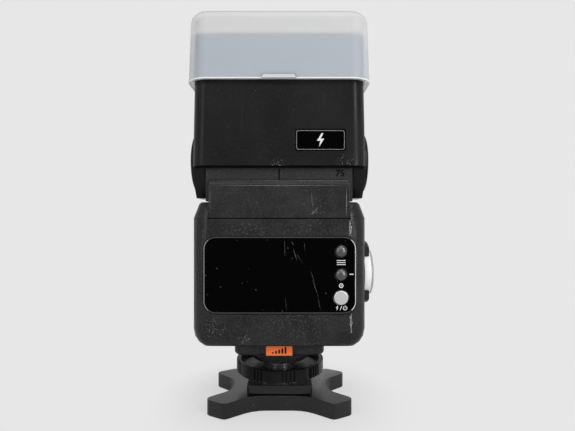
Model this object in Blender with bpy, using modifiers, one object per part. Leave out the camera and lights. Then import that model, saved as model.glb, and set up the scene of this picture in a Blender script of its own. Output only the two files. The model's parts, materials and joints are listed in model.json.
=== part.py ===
"""Pocket speedlight on a small stand: tilting head, frosted cap, radio foot, side dial and buttons.

Lengths below are in millimetres and turn into metres where a mesh is made. X runs left to right,
minus Y is the screen side, Z is up and the origin lies under the foot on the ground.
"""

import math

import bmesh
import bpy
from mathutils import Matrix, Vector

MM = 0.001

# Fits
GAP = 0.3
WALL = 1.8
CUT = 2.0

# Stand
STAND_HEIGHT = 6.0
STAND_FRONT = 11.5
STAND_SIDE = 19.4
STAND_TOE = (20.6, 19.4)
STAND_HEEL = (29.7, 14.2)
SHOE_WIDTH = 26.0
SHOE_DEPTH = 22.0
SHOE_HEIGHT = 3.5
SHOE_SLOT = 13.0
SHOE_LIP = 0.7

# Foot and radio module
FOOT_WIDTH = 18.6
FOOT_DEPTH = 17.9
FOOT_THICKNESS = 1.9
STEM_RADIUS = 5.8
BOSS_LOW = 18.4
BOSS_RADIUS = 11.4
RING_RADIUS = 18.0
RING_CLEARANCE = 0.7
RING_THICKNESS = 4.5
RING_HIGH = BOSS_LOW - RING_CLEARANCE
RING_LOW = RING_HIGH - RING_THICKNESS
WASHER_RADIUS = 8.5
WASHER_THICKNESS = 0.9
WASHER_HIGH = RING_LOW - GAP
MODULE_WIDTH = 34.5
MODULE_DEPTH = 35.0
MODULE_LOW = 23.4
MODULE_HIGH = 27.7
LABEL_WIDTH = 10.1
LABEL_HEIGHT = 3.6
LABEL_DROP = 2.2
PLATE_INSET_X = 1.75
PLATE_INSET_Y = 2.0
PLATE_HALF_X = MODULE_WIDTH / 2 - PLATE_INSET_X
PLATE_HALF_Y = MODULE_DEPTH / 2 - PLATE_INSET_Y

# Flash body
BODY_HALF_WIDTH = 32.65
BODY_HALF_DEPTH = 23.0
BODY_LOW = MODULE_HIGH + GAP
BODY_SHOULDER = 76.0
SHOULDER_RISE = 6.0
BODY_HIGH = BODY_SHOULDER + SHOULDER_RISE
BODY_EDGE = 6.5
BODY_PARTING = 2.0
WINDOW_WIDTH = 56.2
WINDOW_HEIGHT = 28.3
WINDOW_X = 0.3
WINDOW_DROP = 20.95
WINDOW_Z = BODY_SHOULDER - WINDOW_DROP
WINDOW_DEPTH = 1.5
SCREEN_DEPTH = 2.5
BOARD_DEPTH = 1.5
BUTTON_INSET = 5.5
BUTTON_X = WINDOW_X + WINDOW_WIDTH / 2 - BUTTON_INSET
MENU_RISE = 8.75
SET_RISE = 0.15
POWER_DROP = 8.35
BUTTON_HEIGHTS = {
    "menu_button": WINDOW_Z + MENU_RISE,
    "set_button": WINDOW_Z + SET_RISE,
    "power_button": WINDOW_Z - POWER_DROP,
}
KEY_RADIUS = 2.2
POWER_RADIUS = 2.66
BUTTON_RADII = {"menu_button": KEY_RADIUS, "set_button": KEY_RADIUS, "power_button": POWER_RADIUS}
BUTTON_TRAVEL = 0.6
DIAL_SETBACK = 15.0
DIAL_DROP = 0.45
DIAL_Y = DIAL_SETBACK - BODY_HALF_DEPTH
DIAL_Z = WINDOW_Z - DIAL_DROP
DIAL_RADIUS = 8.4
DIAL_THICKNESS = 2.7
DISH_RADIUS = 7.0
DISH_DEPTH = 0.9
SHAFT_RADIUS = 2.4
GUARD_RADIUS = 12.2
SOCKET_RISE = 23.2
PORT_Y = 9.7
PORT_Z = BODY_LOW + SOCKET_RISE
FLAP_LENGTH = 12.4
FLAP_HEIGHT = 7.0
LAMP_HALF_WIDTH = 13.0
LAMP_HALF_HEIGHT = 6.0
LAMP_RISE = 6.8
LAMP_Z = PORT_Z + LAMP_RISE
SCREW_INSET_X = 10.65
SCREW_INSET_Y = 10.0
SCREW_X = BODY_HALF_WIDTH - SCREW_INSET_X
SCREW_Y = BODY_HALF_DEPTH - SCREW_INSET_Y
SCREWS = [(-SCREW_X, -SCREW_Y), (SCREW_X, -SCREW_Y), (-SCREW_X, SCREW_Y), (SCREW_X, SCREW_Y)]
PACK_INSET = 6.65
PACK_DROP = 10.0
PACK_SHORTER = 8.0
CAPACITOR_RADIUS = 8.7
CAPACITOR_INSET = 12.65
SHELF_INSET = 5.65
TRANSFORMER_WIDTH = 14.0
TRANSFORMER_DEPTH = 14.0
TRANSFORMER_HEIGHT = 13.0

# Neck and head
AXIS_RISE = 16.7
AXIS_Y = 0.0
AXIS_Z = BODY_HIGH + AXIS_RISE
NECK_INSET = 6.65
NECK_RISE = 8.3
NECK_HALF_WIDTH = BODY_HALF_WIDTH - NECK_INSET
NECK_HIGH = BODY_HIGH + NECK_RISE
BLOCK_INSET = 5.25
BLOCK_SETBACK = 2.4
BLOCK_BULGE = 0.9
BLOCK_HALF_WIDTH = BODY_HALF_WIDTH - BLOCK_INSET
BLOCK_REAR = BODY_HALF_DEPTH - BLOCK_SETBACK
BLOCK_RADIUS = BLOCK_REAR + BLOCK_BULGE
BLOCK_FRONT = 12.0
BLOCK_WALL = 2.0
AXLE_RADIUS = 3.0
HEAD_DROP = 3.3
HEAD_HEIGHT = 49.2
HEAD_LOW = AXIS_Z - HEAD_DROP
HEAD_HIGH = HEAD_LOW + HEAD_HEIGHT
HEAD_REAR = -BODY_HALF_DEPTH
HEAD_FRONT = 15.5
HEAD_DRAFT = 0.85
HEAD_EDGE = 5.3
HEAD_MIDDLE = (HEAD_REAR + HEAD_FRONT) / 2
HEAD_HALF_DEPTH = (HEAD_FRONT - HEAD_REAR) / 2
EAR_CLEARANCE = 1.7
EAR_RADIUS = AXIS_RISE - EAR_CLEARANCE
EAR_REACH = 5.0
EAR_REAR_RADIUS = EAR_RADIUS + EAR_REACH
ARM_REAR = -13.0
ARM_INSET = 6.0
ARM_DROP = 10.7
ARM_RISE = 17.3
BADGE_X = 15.3
BADGE_RISE = 9.4
BADGE_AT = (BADGE_X, HEAD_LOW + BADGE_RISE)
BADGE_HALF_WIDTH = 9.15
BADGE_HALF_HEIGHT = 3.8
CAP_DISC_RADIUS = 12.1
CAP_DISC_HEIGHT = 2.25
LENS_SET = 1.0
LENS_HIGH = HEAD_HIGH - LENS_SET
LENS_THICKNESS = 1.6
TRIGGER_CLEARANCE = 1.0
TRIGGER_THICKNESS = 1.2
TRIGGER_LOW = AXIS_Z + BLOCK_RADIUS + TRIGGER_CLEARANCE
HOLDER_DROP = 3.8
TUBE_Z = TRIGGER_LOW + TRIGGER_THICKNESS + GAP + HOLDER_DROP
TUBE_RADIUS = 2.0
REFLECTOR_WALL = 0.7

# Frosted cap
CAP_SKIRT = 17.6
CAP_RISE = 8.7
CAP_LOW = HEAD_HIGH - CAP_SKIRT
CAP_HIGH = HEAD_HIGH + CAP_RISE
CAP_WALL = 1.5
CAP_EDGE = 4.0
CAP_GAP = 0.4
CAP_FLARE = 0.35
LIP_HALF_WIDTH = 6.2

# Colour, roughness, metallic
FINISHES = {
    "black_plastic": ((0.02, 0.02, 0.022), 0.5, 0.0),
    "grey_plastic": ((0.06, 0.06, 0.065), 0.5, 0.0),
    "gloss_black": ((0.006, 0.006, 0.007), 0.08, 0.0),
    "silver": ((0.78, 0.78, 0.79), 0.3, 1.0),
    "steel": ((0.55, 0.55, 0.56), 0.35, 1.0),
    "brass": ((0.72, 0.53, 0.25), 0.35, 1.0),
    "orange": ((0.8, 0.16, 0.04), 0.45, 0.0),
    "frosted": ((0.72, 0.73, 0.75), 0.4, 0.0),
    "clear": ((0.85, 0.88, 0.9), 0.1, 0.0),
    "dark_red": ((0.16, 0.005, 0.008), 0.12, 0.0),
    "circuit_board": ((0.01, 0.12, 0.05), 0.45, 0.0),
    "battery_wrap": ((0.03, 0.06, 0.2), 0.4, 0.0),
    "rubber": ((0.015, 0.015, 0.015), 0.8, 0.0),
}

for leftover in list(bpy.data.objects):
    bpy.data.objects.remove(leftover, do_unlink=True)

PARTS = bpy.data.collections.new("speedlight")
CUTTERS = bpy.data.collections.new("cutters")
bpy.context.scene.collection.children.link(PARTS)
bpy.context.scene.collection.children.link(CUTTERS)

# Columns that carry an outline's two directions and its thickness into the part's frame.
TURNED = {
    "X": Matrix(((0, 0, 1), (1, 0, 0), (0, 1, 0))).to_4x4(),
    "Y": Matrix(((1, 0, 0), (0, 0, -1), (0, 1, 0))).to_4x4(),
    "Z": Matrix.Identity(4),
}


def material(finish):
    """The Principled material of that name, made at its first use."""
    found = bpy.data.materials.get(finish)
    if found:
        return found
    colour, roughness, metallic = FINISHES[finish]
    made = bpy.data.materials.new(finish)
    made.use_nodes = True
    shader = made.node_tree.nodes["Principled BSDF"]
    shader.inputs["Base Color"].default_value = (*colour, 1.0)
    shader.inputs["Roughness"].default_value = roughness
    shader.inputs["Metallic"].default_value = metallic
    return made


def placed(name, mesh, finish):
    """An object of this mesh among the parts, or among the cutters when it has no finish."""
    obj = bpy.data.objects.new(name, mesh)
    if finish:
        mesh.materials.append(material(finish))
        PARTS.objects.link(obj)
    else:
        obj.hide_render = True
        obj.display_type = "WIRE"
        CUTTERS.objects.link(obj)
    return obj


def mesh_of(name, shape):
    """A mesh from a bmesh in millimetres, with its faces turned out."""
    bmesh.ops.recalc_face_normals(shape, faces=shape.faces)
    bmesh.ops.scale(shape, vec=(MM, MM, MM), verts=shape.verts)
    mesh = bpy.data.meshes.new(name)
    shape.to_mesh(mesh)
    shape.free()
    return mesh


def rounded(corners, steps=4):
    """The outline through (x, y, radius) corners, each corner an arc of so many steps."""
    outline = []
    for i, (x, y, radius) in enumerate(corners):
        here = Vector((x, y))
        before = (Vector(corners[i - 1][:2]) - here).normalized()
        after = (Vector(corners[(i + 1) % len(corners)][:2]) - here).normalized()
        if radius <= 0:
            outline.append((x, y))
            continue
        half = before.angle(after) / 2
        centre = here + (before + after).normalized() * radius / math.sin(half)
        start = here + before * radius / math.tan(half) - centre
        turn = start.angle_signed(here + after * radius / math.tan(half) - centre)
        for step in range(steps + 1):
            arm = start.copy()
            arm.rotate(Matrix.Rotation(-turn * step / steps, 2))
            outline.append(tuple(centre + arm))
    return outline


def rectangle(half_width, half_height, radius=0.0, centre=(0.0, 0.0), steps=4):
    """A rectangle's outline with round corners."""
    x, y = centre
    corners = [(-1, -1), (1, -1), (1, 1), (-1, 1)]
    return rounded([(x + i * half_width, y + j * half_height, radius) for i, j in corners], steps)


def arc(centre, radius, start, end, steps):
    """Points along an arc between two angles in degrees."""
    angles = [math.radians(start + (end - start) * i / steps) for i in range(steps + 1)]
    return [(centre[0] + radius * math.cos(a), centre[1] + radius * math.sin(a)) for a in angles]


def prism(name, outline, low, high, along="Z", finish=None):
    """A flat outline given thickness from low to high along one axis."""
    curve = bpy.data.curves.new(name, "CURVE")
    curve.dimensions = "2D"
    curve.fill_mode = "BOTH"
    curve.extrude = (high - low) / 2 * MM
    spline = curve.splines.new("POLY")
    spline.points.add(len(outline) - 1)
    for point, (x, y) in zip(spline.points, outline):
        point.co = (x * MM, y * MM, 0, 1)
    spline.use_cyclic_u = True
    holder = bpy.data.objects.new(name, curve)
    bpy.context.scene.collection.objects.link(holder)
    bpy.context.view_layer.update()
    graph = bpy.context.evaluated_depsgraph_get()
    mesh = bpy.data.meshes.new_from_object(holder.evaluated_get(graph))
    bpy.data.objects.remove(holder, do_unlink=True)
    bpy.data.curves.remove(curve)
    shape = bmesh.new()
    shape.from_mesh(mesh)
    bpy.data.meshes.remove(mesh)
    bmesh.ops.scale(shape, vec=(1 / MM, 1 / MM, 1 / MM), verts=shape.verts)
    bmesh.ops.remove_doubles(shape, verts=shape.verts, dist=0.001)
    middle = Vector("XYZ"[i] == along and 1.0 or 0.0 for i in range(3)) * (low + high) / 2
    bmesh.ops.transform(shape, matrix=Matrix.Translation(middle) @ TURNED[along], verts=shape.verts)
    return placed(name, mesh_of(name, shape), finish)


def box(name, x, y, z, finish=None):
    """A box between two limits on each axis."""
    shape = bmesh.new()
    bmesh.ops.create_cube(shape, size=1.0)
    size = [high - low for low, high in (x, y, z)]
    middle = [(low + high) / 2 for low, high in (x, y, z)]
    bmesh.ops.scale(shape, vec=size, verts=shape.verts)
    bmesh.ops.translate(shape, vec=middle, verts=shape.verts)
    return placed(name, mesh_of(name, shape), finish)


def cylinder(name, radius, low, high, along="Z", centre=(0.0, 0.0), finish=None, sides=32):
    """A cylinder along one axis, centred at that axis's two outline coordinates."""
    shape = bmesh.new()
    bmesh.ops.create_cone(
        shape, cap_ends=True, segments=sides, radius1=radius, radius2=radius, depth=high - low
    )
    bmesh.ops.translate(shape, vec=(*centre, 0), verts=shape.verts)
    middle = Vector("XYZ"[i] == along and 1.0 or 0.0 for i in range(3)) * (low + high) / 2
    bmesh.ops.transform(shape, matrix=Matrix.Translation(middle) @ TURNED[along], verts=shape.verts)
    return placed(name, mesh_of(name, shape), finish)


def lathe(name, profile, origin, along, finish, steps=32):
    """A profile of (radius, height), listed from the top down, turned about an axis."""
    shape = bmesh.new()
    points = [shape.verts.new((r * MM, 0, h * MM)) for r, h in profile]
    for first, second in zip(points, points[1:]):
        shape.edges.new((first, second))
    mesh = bpy.data.meshes.new(name)
    shape.to_mesh(mesh)
    shape.free()
    obj = placed(name, mesh, finish)
    obj.location = Vector(origin) * MM
    obj.rotation_mode = "QUATERNION"
    obj.rotation_quaternion = Vector((0, 0, 1)).rotation_difference(Vector(along))
    turn = obj.modifiers.new("turn", "SCREW")
    turn.steps = steps
    turn.render_steps = steps
    turn.use_merge_vertices = True
    turn.merge_threshold = 0.00001
    return obj


def loft(name, sections, finish=None):
    """A skin through outlines of equal count, each given as (z, outline), closed at both ends."""
    shape = bmesh.new()
    rings = [[shape.verts.new((x, y, z)) for x, y in outline] for z, outline in sections]
    shape.faces.new(rings[0][::-1])
    shape.faces.new(rings[-1])
    for low, high in zip(rings, rings[1:]):
        for i in range(len(low)):
            shape.faces.new((low[i - 1], low[i], high[i], high[i - 1]))
    return placed(name, mesh_of(name, shape), finish)


def combine(target, operation, others):
    """Boolean modifiers on the target, one for each other mesh."""
    for other in others:
        step = target.modifiers.new(other.name, "BOOLEAN")
        step.operation = operation
        step.object = other
        step.solver = "EXACT"
    return target


def cut(target, *others):
    return combine(target, "DIFFERENCE", others)


def join(target, *others):
    return combine(target, "UNION", others)


def keep(target, *others):
    return combine(target, "INTERSECT", others)


def bevel(target, width, segments=2, angle=60):
    """Rounds the edges that turn more than the angle."""
    step = target.modifiers.new("edges", "BEVEL")
    step.width = width * MM
    step.segments = segments
    step.limit_method = "ANGLE"
    step.angle_limit = math.radians(angle)
    return target


def pivot(name, at, *moving):
    """An empty on a joint's axis that carries the pieces which move about it."""
    empty = bpy.data.objects.new(name, None)
    empty.location = Vector(at) * MM
    empty.empty_display_size = 0.01
    PARTS.objects.link(empty)
    for obj in moving:
        obj.parent = empty
        obj.matrix_parent_inverse = Matrix.Translation(-empty.location)
    return empty


def build_stand():
    """Four-legged foot with an accessory shoe on it."""
    quarter = [
        (10.0, -STAND_FRONT, 14.0),
        (STAND_TOE[0], -STAND_TOE[1], 2.2),
        (STAND_HEEL[0], -STAND_HEEL[1], 2.2),
        (STAND_SIDE, -5.5, 8.0),
    ]
    right = quarter + [(x, -y, r) for x, y, r in reversed(quarter)]
    left = [(-x, y, r) for x, y, r in reversed(right)]
    base = prism("stand_base", rounded(right + left, 3), 0.0, STAND_HEIGHT, finish="black_plastic")
    bevel(base, 0.7)

    low = STAND_HEIGHT + GAP
    high = low + SHOE_HEIGHT
    rear = SHOE_DEPTH / 2
    shoe = prism(
        "stand_shoe", rectangle(SHOE_WIDTH / 2, rear, 1.2), low, high, finish="black_plastic"
    )
    half = FOOT_WIDTH / 2 + GAP / 2
    slot = SHOE_SLOT / 2
    floor = low + 0.5
    wall = 1.5
    cut(
        shoe,
        box("shoe_channel", (-half, half), (wall - rear, rear + CUT), (floor, high - SHOE_LIP)),
        box("shoe_slot", (-slot, slot), (2.6 - rear, rear + CUT), (floor + 1, high + CUT)),
    )
    return floor


def build_foot(floor):
    """The shoe foot with its stem and the contacts let into its underside."""
    low = floor + 0.2
    high = low + FOOT_THICKNESS
    near = -SHOE_DEPTH / 2 + 1.5 + GAP
    outline = rectangle(FOOT_WIDTH / 2, FOOT_DEPTH / 2, 0.8, (0, near + FOOT_DEPTH / 2))
    foot = prism("shoe_foot", outline, low, high, finish="steel")
    join(foot, cylinder("foot_stem", STEM_RADIUS, high - 0.5, BOSS_LOW - GAP))
    cut(foot, box("foot_recess", (-6.3, 6.3), (-5.3, 5.3), (low - CUT, low + 0.9)))
    box("foot_contacts", (-6, 6), (-5, 5), (low + 0.05, low + 0.6), "brass")
    return foot


def build_lock():
    """Knurled lock ring on the stem and the washer that it drives down on to the shoe."""
    outline = []
    for sector in range(9):
        start = sector * 40 - 8
        for tooth in range(4):
            a = start + tooth * 5
            outline += arc((0, 0), RING_RADIUS - 0.7, a, a + 2.2, 1)
            outline += arc((0, 0), RING_RADIUS, a + 2.7, a + 4.5, 1)
        outline += arc((0, 0), RING_RADIUS, start + 26, start + 36, 2)
    ring = prism("lock_ring", outline, RING_LOW, RING_HIGH, finish="black_plastic")
    bore = STEM_RADIUS + 0.4
    cut(
        ring,
        cylinder("ring_bore", bore, RING_LOW - CUT, RING_HIGH + CUT),
        cylinder("ring_dish", RING_RADIUS - 1.7, RING_HIGH - CUT, RING_HIGH + CUT),
    )
    low = WASHER_HIGH - WASHER_THICKNESS
    washer = cylinder("clamp_washer", WASHER_RADIUS, low, WASHER_HIGH, finish="steel")
    cut(washer, cylinder("washer_bore", bore, low - CUT, WASHER_HIGH + CUT))
    pivot("lock_ring_axis", (0, 0, RING_LOW), ring)
    pivot("clamp_axis", (0, 0, low), washer)


def build_module():
    """Radio module: tray with boss, board, magnets, contact block, lid and the orange label."""
    half_x = MODULE_WIDTH / 2
    half_y = MODULE_DEPTH / 2
    bottom = rectangle(half_x - 1.2, half_y - 1.2, 1.8)
    full = rectangle(half_x, half_y, 3.0)
    tray = loft(
        "module_housing",
        [(MODULE_LOW, bottom), (MODULE_LOW + 1.2, full), (MODULE_HIGH, full)],
        "black_plastic",
    )
    wall = 1.6
    floor = MODULE_LOW + 1.2
    join(tray, cylinder("module_boss", BOSS_RADIUS, BOSS_LOW, floor - 0.2))
    inside = rectangle(half_x - wall, half_y - wall, 1.4)
    label_z = MODULE_HIGH - LABEL_DROP
    recess = prism(
        "label_recess",
        rectangle(LABEL_WIDTH / 2 + 0.2, LABEL_HEIGHT / 2 + 0.15, 0.4, (0, label_z)),
        -half_y - CUT,
        -half_y + 0.6,
        "Y",
    )
    cut(tray, prism("module_cavity", inside, floor, MODULE_HIGH + CUT), recess)
    prism(
        "module_label",
        rectangle(LABEL_WIDTH / 2, LABEL_HEIGHT / 2, 0.3, (0, label_z)),
        -half_y - 0.05,
        -half_y + GAP,
        "Y",
        "orange",
    )
    above = floor + GAP
    board_x = half_x - wall - 7.85
    board_y = half_y - wall - 0.7
    box("module_board", (-board_x, board_x), (-board_y, board_y), (above, above + 1.0), "circuit_board")
    for side, name in ((-1, "module_magnet_left"), (1, "module_magnet_right")):
        at = (side * (board_x + 3.7), 0)
        cylinder(name, 3.2, above, above + 1.7, centre=at, finish="steel", sides=24)
    lid_low = MODULE_HIGH - 0.8
    lid = prism(
        "module_lid",
        rectangle(half_x - wall - GAP, half_y - wall - GAP, 1.1),
        lid_low,
        MODULE_HIGH,
        finish="grey_plastic",
    )
    x = 6.0
    y = 3.0
    depth = (lid_low - CUT, MODULE_HIGH + CUT)
    cut(lid, box("lid_opening", (-x - GAP, x + GAP), (-y - GAP, y + GAP), depth))
    box("contact_block", (-x, x), (-y, y), (above + 1.3, MODULE_HIGH), "brass")


def body_section(inset_x, inset_y, inner=0.0):
    """The body's plan outline drawn in from its widest one."""
    radius = max(BODY_EDGE - inner - max(inset_x, inset_y), 0.8)
    return rectangle(BODY_HALF_WIDTH - inner - inset_x, BODY_HALF_DEPTH - inner - inset_y, radius)


def body_skin(name, finish, inner=0.0):
    """The whole body, or its hollow when inner is the wall."""
    rise = BODY_EDGE - inner
    base = BODY_LOW + inner
    sections = []
    for degrees in (0, 20, 42, 65, 90):
        a = math.radians(degrees)
        draw = rise * (1 - math.sin(a))
        sections.append((base + rise * (1 - math.cos(a)), body_section(draw, draw * 0.5, inner)))
    sections.append((BODY_SHOULDER - inner * 0.2, body_section(0, 0, inner)))
    sections.append((BODY_HIGH - 0.6 - inner, body_section(2.1, 2.4, inner)))
    if not inner:
        sections.append((BODY_HIGH, body_section(2.9, 3.2)))
    return loft(name, sections, finish)


def build_body_shells():
    """Rear and front shells with every opening in them."""
    window = prism(
        "window_opening",
        rectangle(WINDOW_WIDTH / 2 + GAP, WINDOW_HEIGHT / 2 + GAP, 4.8, (WINDOW_X, WINDOW_Z)),
        -BODY_HALF_DEPTH - CUT,
        -BODY_HALF_DEPTH + WALL + 0.5,
        "Y",
    )
    neck = box(
        "neck_notch",
        (-NECK_HALF_WIDTH - GAP, NECK_HALF_WIDTH + GAP),
        (-BODY_HALF_DEPTH - CUT, -BLOCK_REAR),
        (BODY_SHOULDER - 0.2, BODY_HIGH + CUT),
    )
    plate = prism(
        "plate_recess",
        rectangle(PLATE_HALF_X + GAP, PLATE_HALF_Y + GAP, 1.3),
        BODY_LOW - CUT,
        BODY_LOW + 1.05,
    )
    limits = (BODY_HALF_WIDTH - 2 * CUT, BODY_HALF_WIDTH + CUT)
    dial = cylinder("dial_opening", 2.9, *limits, "X", (DIAL_Y, DIAL_Z), sides=24)
    port = prism(
        "port_opening",
        rectangle(4.8, 1.9, 1.2, (PORT_Y + 0.8, PORT_Z)),
        -BODY_HALF_WIDTH - CUT,
        -BODY_HALF_WIDTH + 2 * CUT,
        "X",
    )
    flap = prism(
        "flap_recess",
        rectangle(FLAP_LENGTH / 2 + GAP, FLAP_HEIGHT / 2 + GAP, 0.8, (PORT_Y, PORT_Z)),
        -BODY_HALF_WIDTH - CUT,
        -BODY_HALF_WIDTH + 1.0,
        "X",
    )
    lamp = prism(
        "lamp_opening",
        rectangle(LAMP_HALF_WIDTH + GAP, LAMP_HALF_HEIGHT + GAP, 2.0, (0, LAMP_Z)),
        BODY_HALF_DEPTH - WALL - 0.5,
        BODY_HALF_DEPTH + CUT,
        "Y",
    )
    screws = [
        cylinder(f"screw_recess_{i}", 2.1, BODY_LOW - 1, BODY_LOW + 1.3, centre=at, sides=20)
        for i, at in enumerate(SCREWS, 1)
    ]
    hollow = body_skin("body_hollow", None, WALL)
    wide = 2 * BODY_HALF_WIDTH
    tall = (BODY_LOW - CUT, BODY_HIGH + CUT)
    rear_half = box("rear_half", (-wide, wide), (-wide, BODY_PARTING - GAP / 2), tall)
    front_half = box("front_half", (-wide, wide), (BODY_PARTING + GAP / 2, wide), tall)
    rear = keep(body_skin("rear_shell", "black_plastic"), rear_half)
    cut(rear, hollow, window, neck, plate, dial, *screws[:2])
    front = keep(body_skin("front_shell", "black_plastic"), front_half)
    cut(front, hollow, plate, port, flap, lamp, *screws[2:])


def build_body_inside():
    """What the body holds: screen, boards, battery, capacitor, sockets and lamp."""
    face = -BODY_HALF_DEPTH + 0.1
    window = prism(
        "display_window",
        rectangle(WINDOW_WIDTH / 2, WINDOW_HEIGHT / 2, 4.5, (WINDOW_X, WINDOW_Z), 6),
        face,
        face + WINDOW_DEPTH,
        "Y",
        "gloss_black",
    )
    for name, height in BUTTON_HEIGHTS.items():
        radius = BUTTON_RADII[name] + GAP
        at = (BUTTON_X, height)
        cut(window, cylinder(f"{name}_opening", radius, face - CUT, face + WINDOW_DEPTH + CUT, "Y", at))
    behind = face + WINDOW_DEPTH + GAP
    left = WINDOW_X - WINDOW_WIDTH / 2 + 2.3
    height = (WINDOW_Z - 11.05, WINDOW_Z + 10.95)
    limits = (left, BUTTON_X - 5.4)
    box("display_module", limits, (behind, behind + SCREEN_DEPTH), height, "grey_plastic")
    board_y = behind + SCREEN_DEPTH + GAP
    side = BODY_HALF_WIDTH - WALL - 1.35
    height = (BODY_LOW + 5, BODY_SHOULDER - 1)
    board = box("control_board", (-side, side), (board_y, board_y + BOARD_DEPTH), height, "circuit_board")
    half = 2.5
    for name, height in BUTTON_HEIGHTS.items():
        limits = (BUTTON_X - half, BUTTON_X + half)
        switch = box(f"{name}_switch", limits, (board_y - 0.8, board_y + 1), (height - half, height + half))
        join(board, switch)
    back = board_y + BOARD_DEPTH + GAP
    floor = BODY_LOW + WALL + GAP
    pack_end = back + BODY_HALF_DEPTH - PACK_SHORTER
    half = BODY_HALF_WIDTH - CAPACITOR_INSET
    limits = (PACK_INSET - BODY_HALF_WIDTH, half)
    pack = box("battery_pack", limits, (back, pack_end), (floor, BODY_SHOULDER - PACK_DROP), "battery_wrap")
    bevel(pack, 3.0, 3)
    front = BODY_HALF_DEPTH - WALL - 2 * GAP
    at = (front - CAPACITOR_RADIUS, floor + CAPACITOR_RADIUS)
    cylinder("main_capacitor", CAPACITOR_RADIUS, -half, half, "X", at, "gloss_black", 28)
    socket_half = 1.6
    shelf = PORT_Z - socket_half - GAP - BOARD_DEPTH
    half = BODY_HALF_WIDTH - SHELF_INSET
    height = (shelf, shelf + BOARD_DEPTH)
    board = box("power_board", (-half, half), (pack_end + 2, front - 0.1), height, "circuit_board")
    limits = (2.0, 2.0 + TRANSFORMER_WIDTH)
    depth = (front - 3.6 - TRANSFORMER_DEPTH, front - 3.6)
    join(board, box("transformer", limits, depth, (shelf + 1, shelf + TRANSFORMER_HEIGHT)))
    mouth = 1.05 - BODY_HALF_WIDTH
    at = (PORT_Y + 0.8, PORT_Z)
    socket = prism("usb_socket", rectangle(4.5, socket_half, 1.3, at), mouth, mouth + 7.1, "X", "steel")
    outline = rectangle(4.1, socket_half - 0.4, 0.9, at)
    cut(socket, prism("usb_mouth", outline, mouth - CUT, mouth + 5.6, "X"))
    glass = BODY_HALF_DEPTH - 0.1
    outline = rectangle(LAMP_HALF_WIDTH, LAMP_HALF_HEIGHT, 1.7, (0, LAMP_Z))
    prism("af_window", outline, glass - WINDOW_DEPTH, glass, "Y", "dark_red")
    lens = glass - WINDOW_DEPTH - GAP
    box("af_lamp_module", (-5, 5), (lens - 2.5, lens), (LAMP_Z - 4, LAMP_Z + 4), "grey_plastic")
    outline = rectangle(PLATE_HALF_X, PLATE_HALF_Y, 1.0)
    prism("contact_plate", outline, BODY_LOW + 0.05, BODY_LOW + 0.75, finish="steel")
    for i, at in enumerate(SCREWS, 1):
        cylinder(f"housing_screw_{i}", 1.8, BODY_LOW + 0.1, BODY_LOW + 1.0, "Z", at, "steel", 20)


def build_buttons():
    """Two domed keys and the flat power key, each with a collar behind the window."""
    face = -BODY_HALF_DEPTH + 0.1
    collar = WINDOW_DEPTH + GAP
    stem_end = collar + SCREEN_DEPTH + GAP - 0.8 - BUTTON_TRAVEL - 0.1
    for name, height in BUTTON_HEIGHTS.items():
        r = BUTTON_RADII[name]
        domed = name != "power_button"
        crown = [(0, 0.7), (r * 0.5, 0.62), (r * 0.85, 0.35), (r, -0.1)]
        flat = [(0, 0.3), (r - 0.4, 0.3), (r, 0.0)]
        profile = crown if domed else flat
        profile = profile + [
            (r, -collar),
            (r + 0.9, -collar),
            (r + 0.9, -collar - 0.6),
            (1.2, -collar - 0.6),
            (1.2, -stem_end),
            (0, -stem_end),
        ]
        finish = "grey_plastic" if domed else "silver"
        lathe(name, profile, (BUTTON_X, face, height), (0, -1, 0), finish, 28)


def build_dial():
    """Side dial: fixed guard and encoder, turning knob, cap and shaft."""
    side = BODY_HALF_WIDTH + GAP
    at = (DIAL_Y, DIAL_Z)
    guard = cylinder("dial_guard", GUARD_RADIUS, side, side + 1.85, "X", at, "black_plastic", 40)
    bevel(guard, 0.5, 2)
    gap = (DIAL_Y - 30, DIAL_Y - 6.5)
    cut(
        guard,
        cylinder("guard_bore", DIAL_RADIUS + 0.8, side - CUT, side + 4, "X", at, sides=40),
        box("guard_gap", (side - CUT, side + 4), gap, (DIAL_Z - 20, DIAL_Z + 20)),
    )
    low = side + 0.15
    high = low + DIAL_THICKNESS
    outline = []
    for tooth in range(36):
        outline += arc(at, DIAL_RADIUS, tooth * 10, tooth * 10 + 5.5, 1)
        outline += arc(at, DIAL_RADIUS - 0.45, tooth * 10 + 7, tooth * 10 + 8.5, 1)
    knob = prism("dial_knob", outline, low, high, "X", "silver")
    cut(
        knob,
        cylinder("knob_dish", DISH_RADIUS, high - DISH_DEPTH, high + CUT, "X", at, sides=36),
        cylinder("knob_bore", SHAFT_RADIUS + GAP, low - CUT, high + CUT, "X", at, sides=24),
    )
    r = DISH_RADIUS - GAP
    crown = [(0, 1.2), (r - 1.3, 1.1), (r - 0.4, 0.8), (r, 0.3), (r, 0), (0, 0)]
    origin = (high - DISH_DEPTH + GAP, DIAL_Y, DIAL_Z)
    cap = lathe("dial_cap", crown, origin, (1, 0, 0), "black_plastic")
    encoder_x = BODY_HALF_WIDTH - WALL - GAP
    shaft = cylinder("dial_shaft", SHAFT_RADIUS, encoder_x - 5.5, high - 1.0, "X", at, "steel", 24)
    half = 5.5
    encoder = box(
        "dial_encoder",
        (encoder_x - 5.75, encoder_x),
        (DIAL_Y - half, DIAL_Y + half),
        (DIAL_Z - half, DIAL_Z + half),
        "grey_plastic",
    )
    limits = (encoder_x - 8, encoder_x + CUT)
    cut(encoder, cylinder("encoder_bore", SHAFT_RADIUS + GAP, *limits, "X", at, sides=24))
    pivot("dial_axis", (side, *at), knob, cap, shaft)


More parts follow.
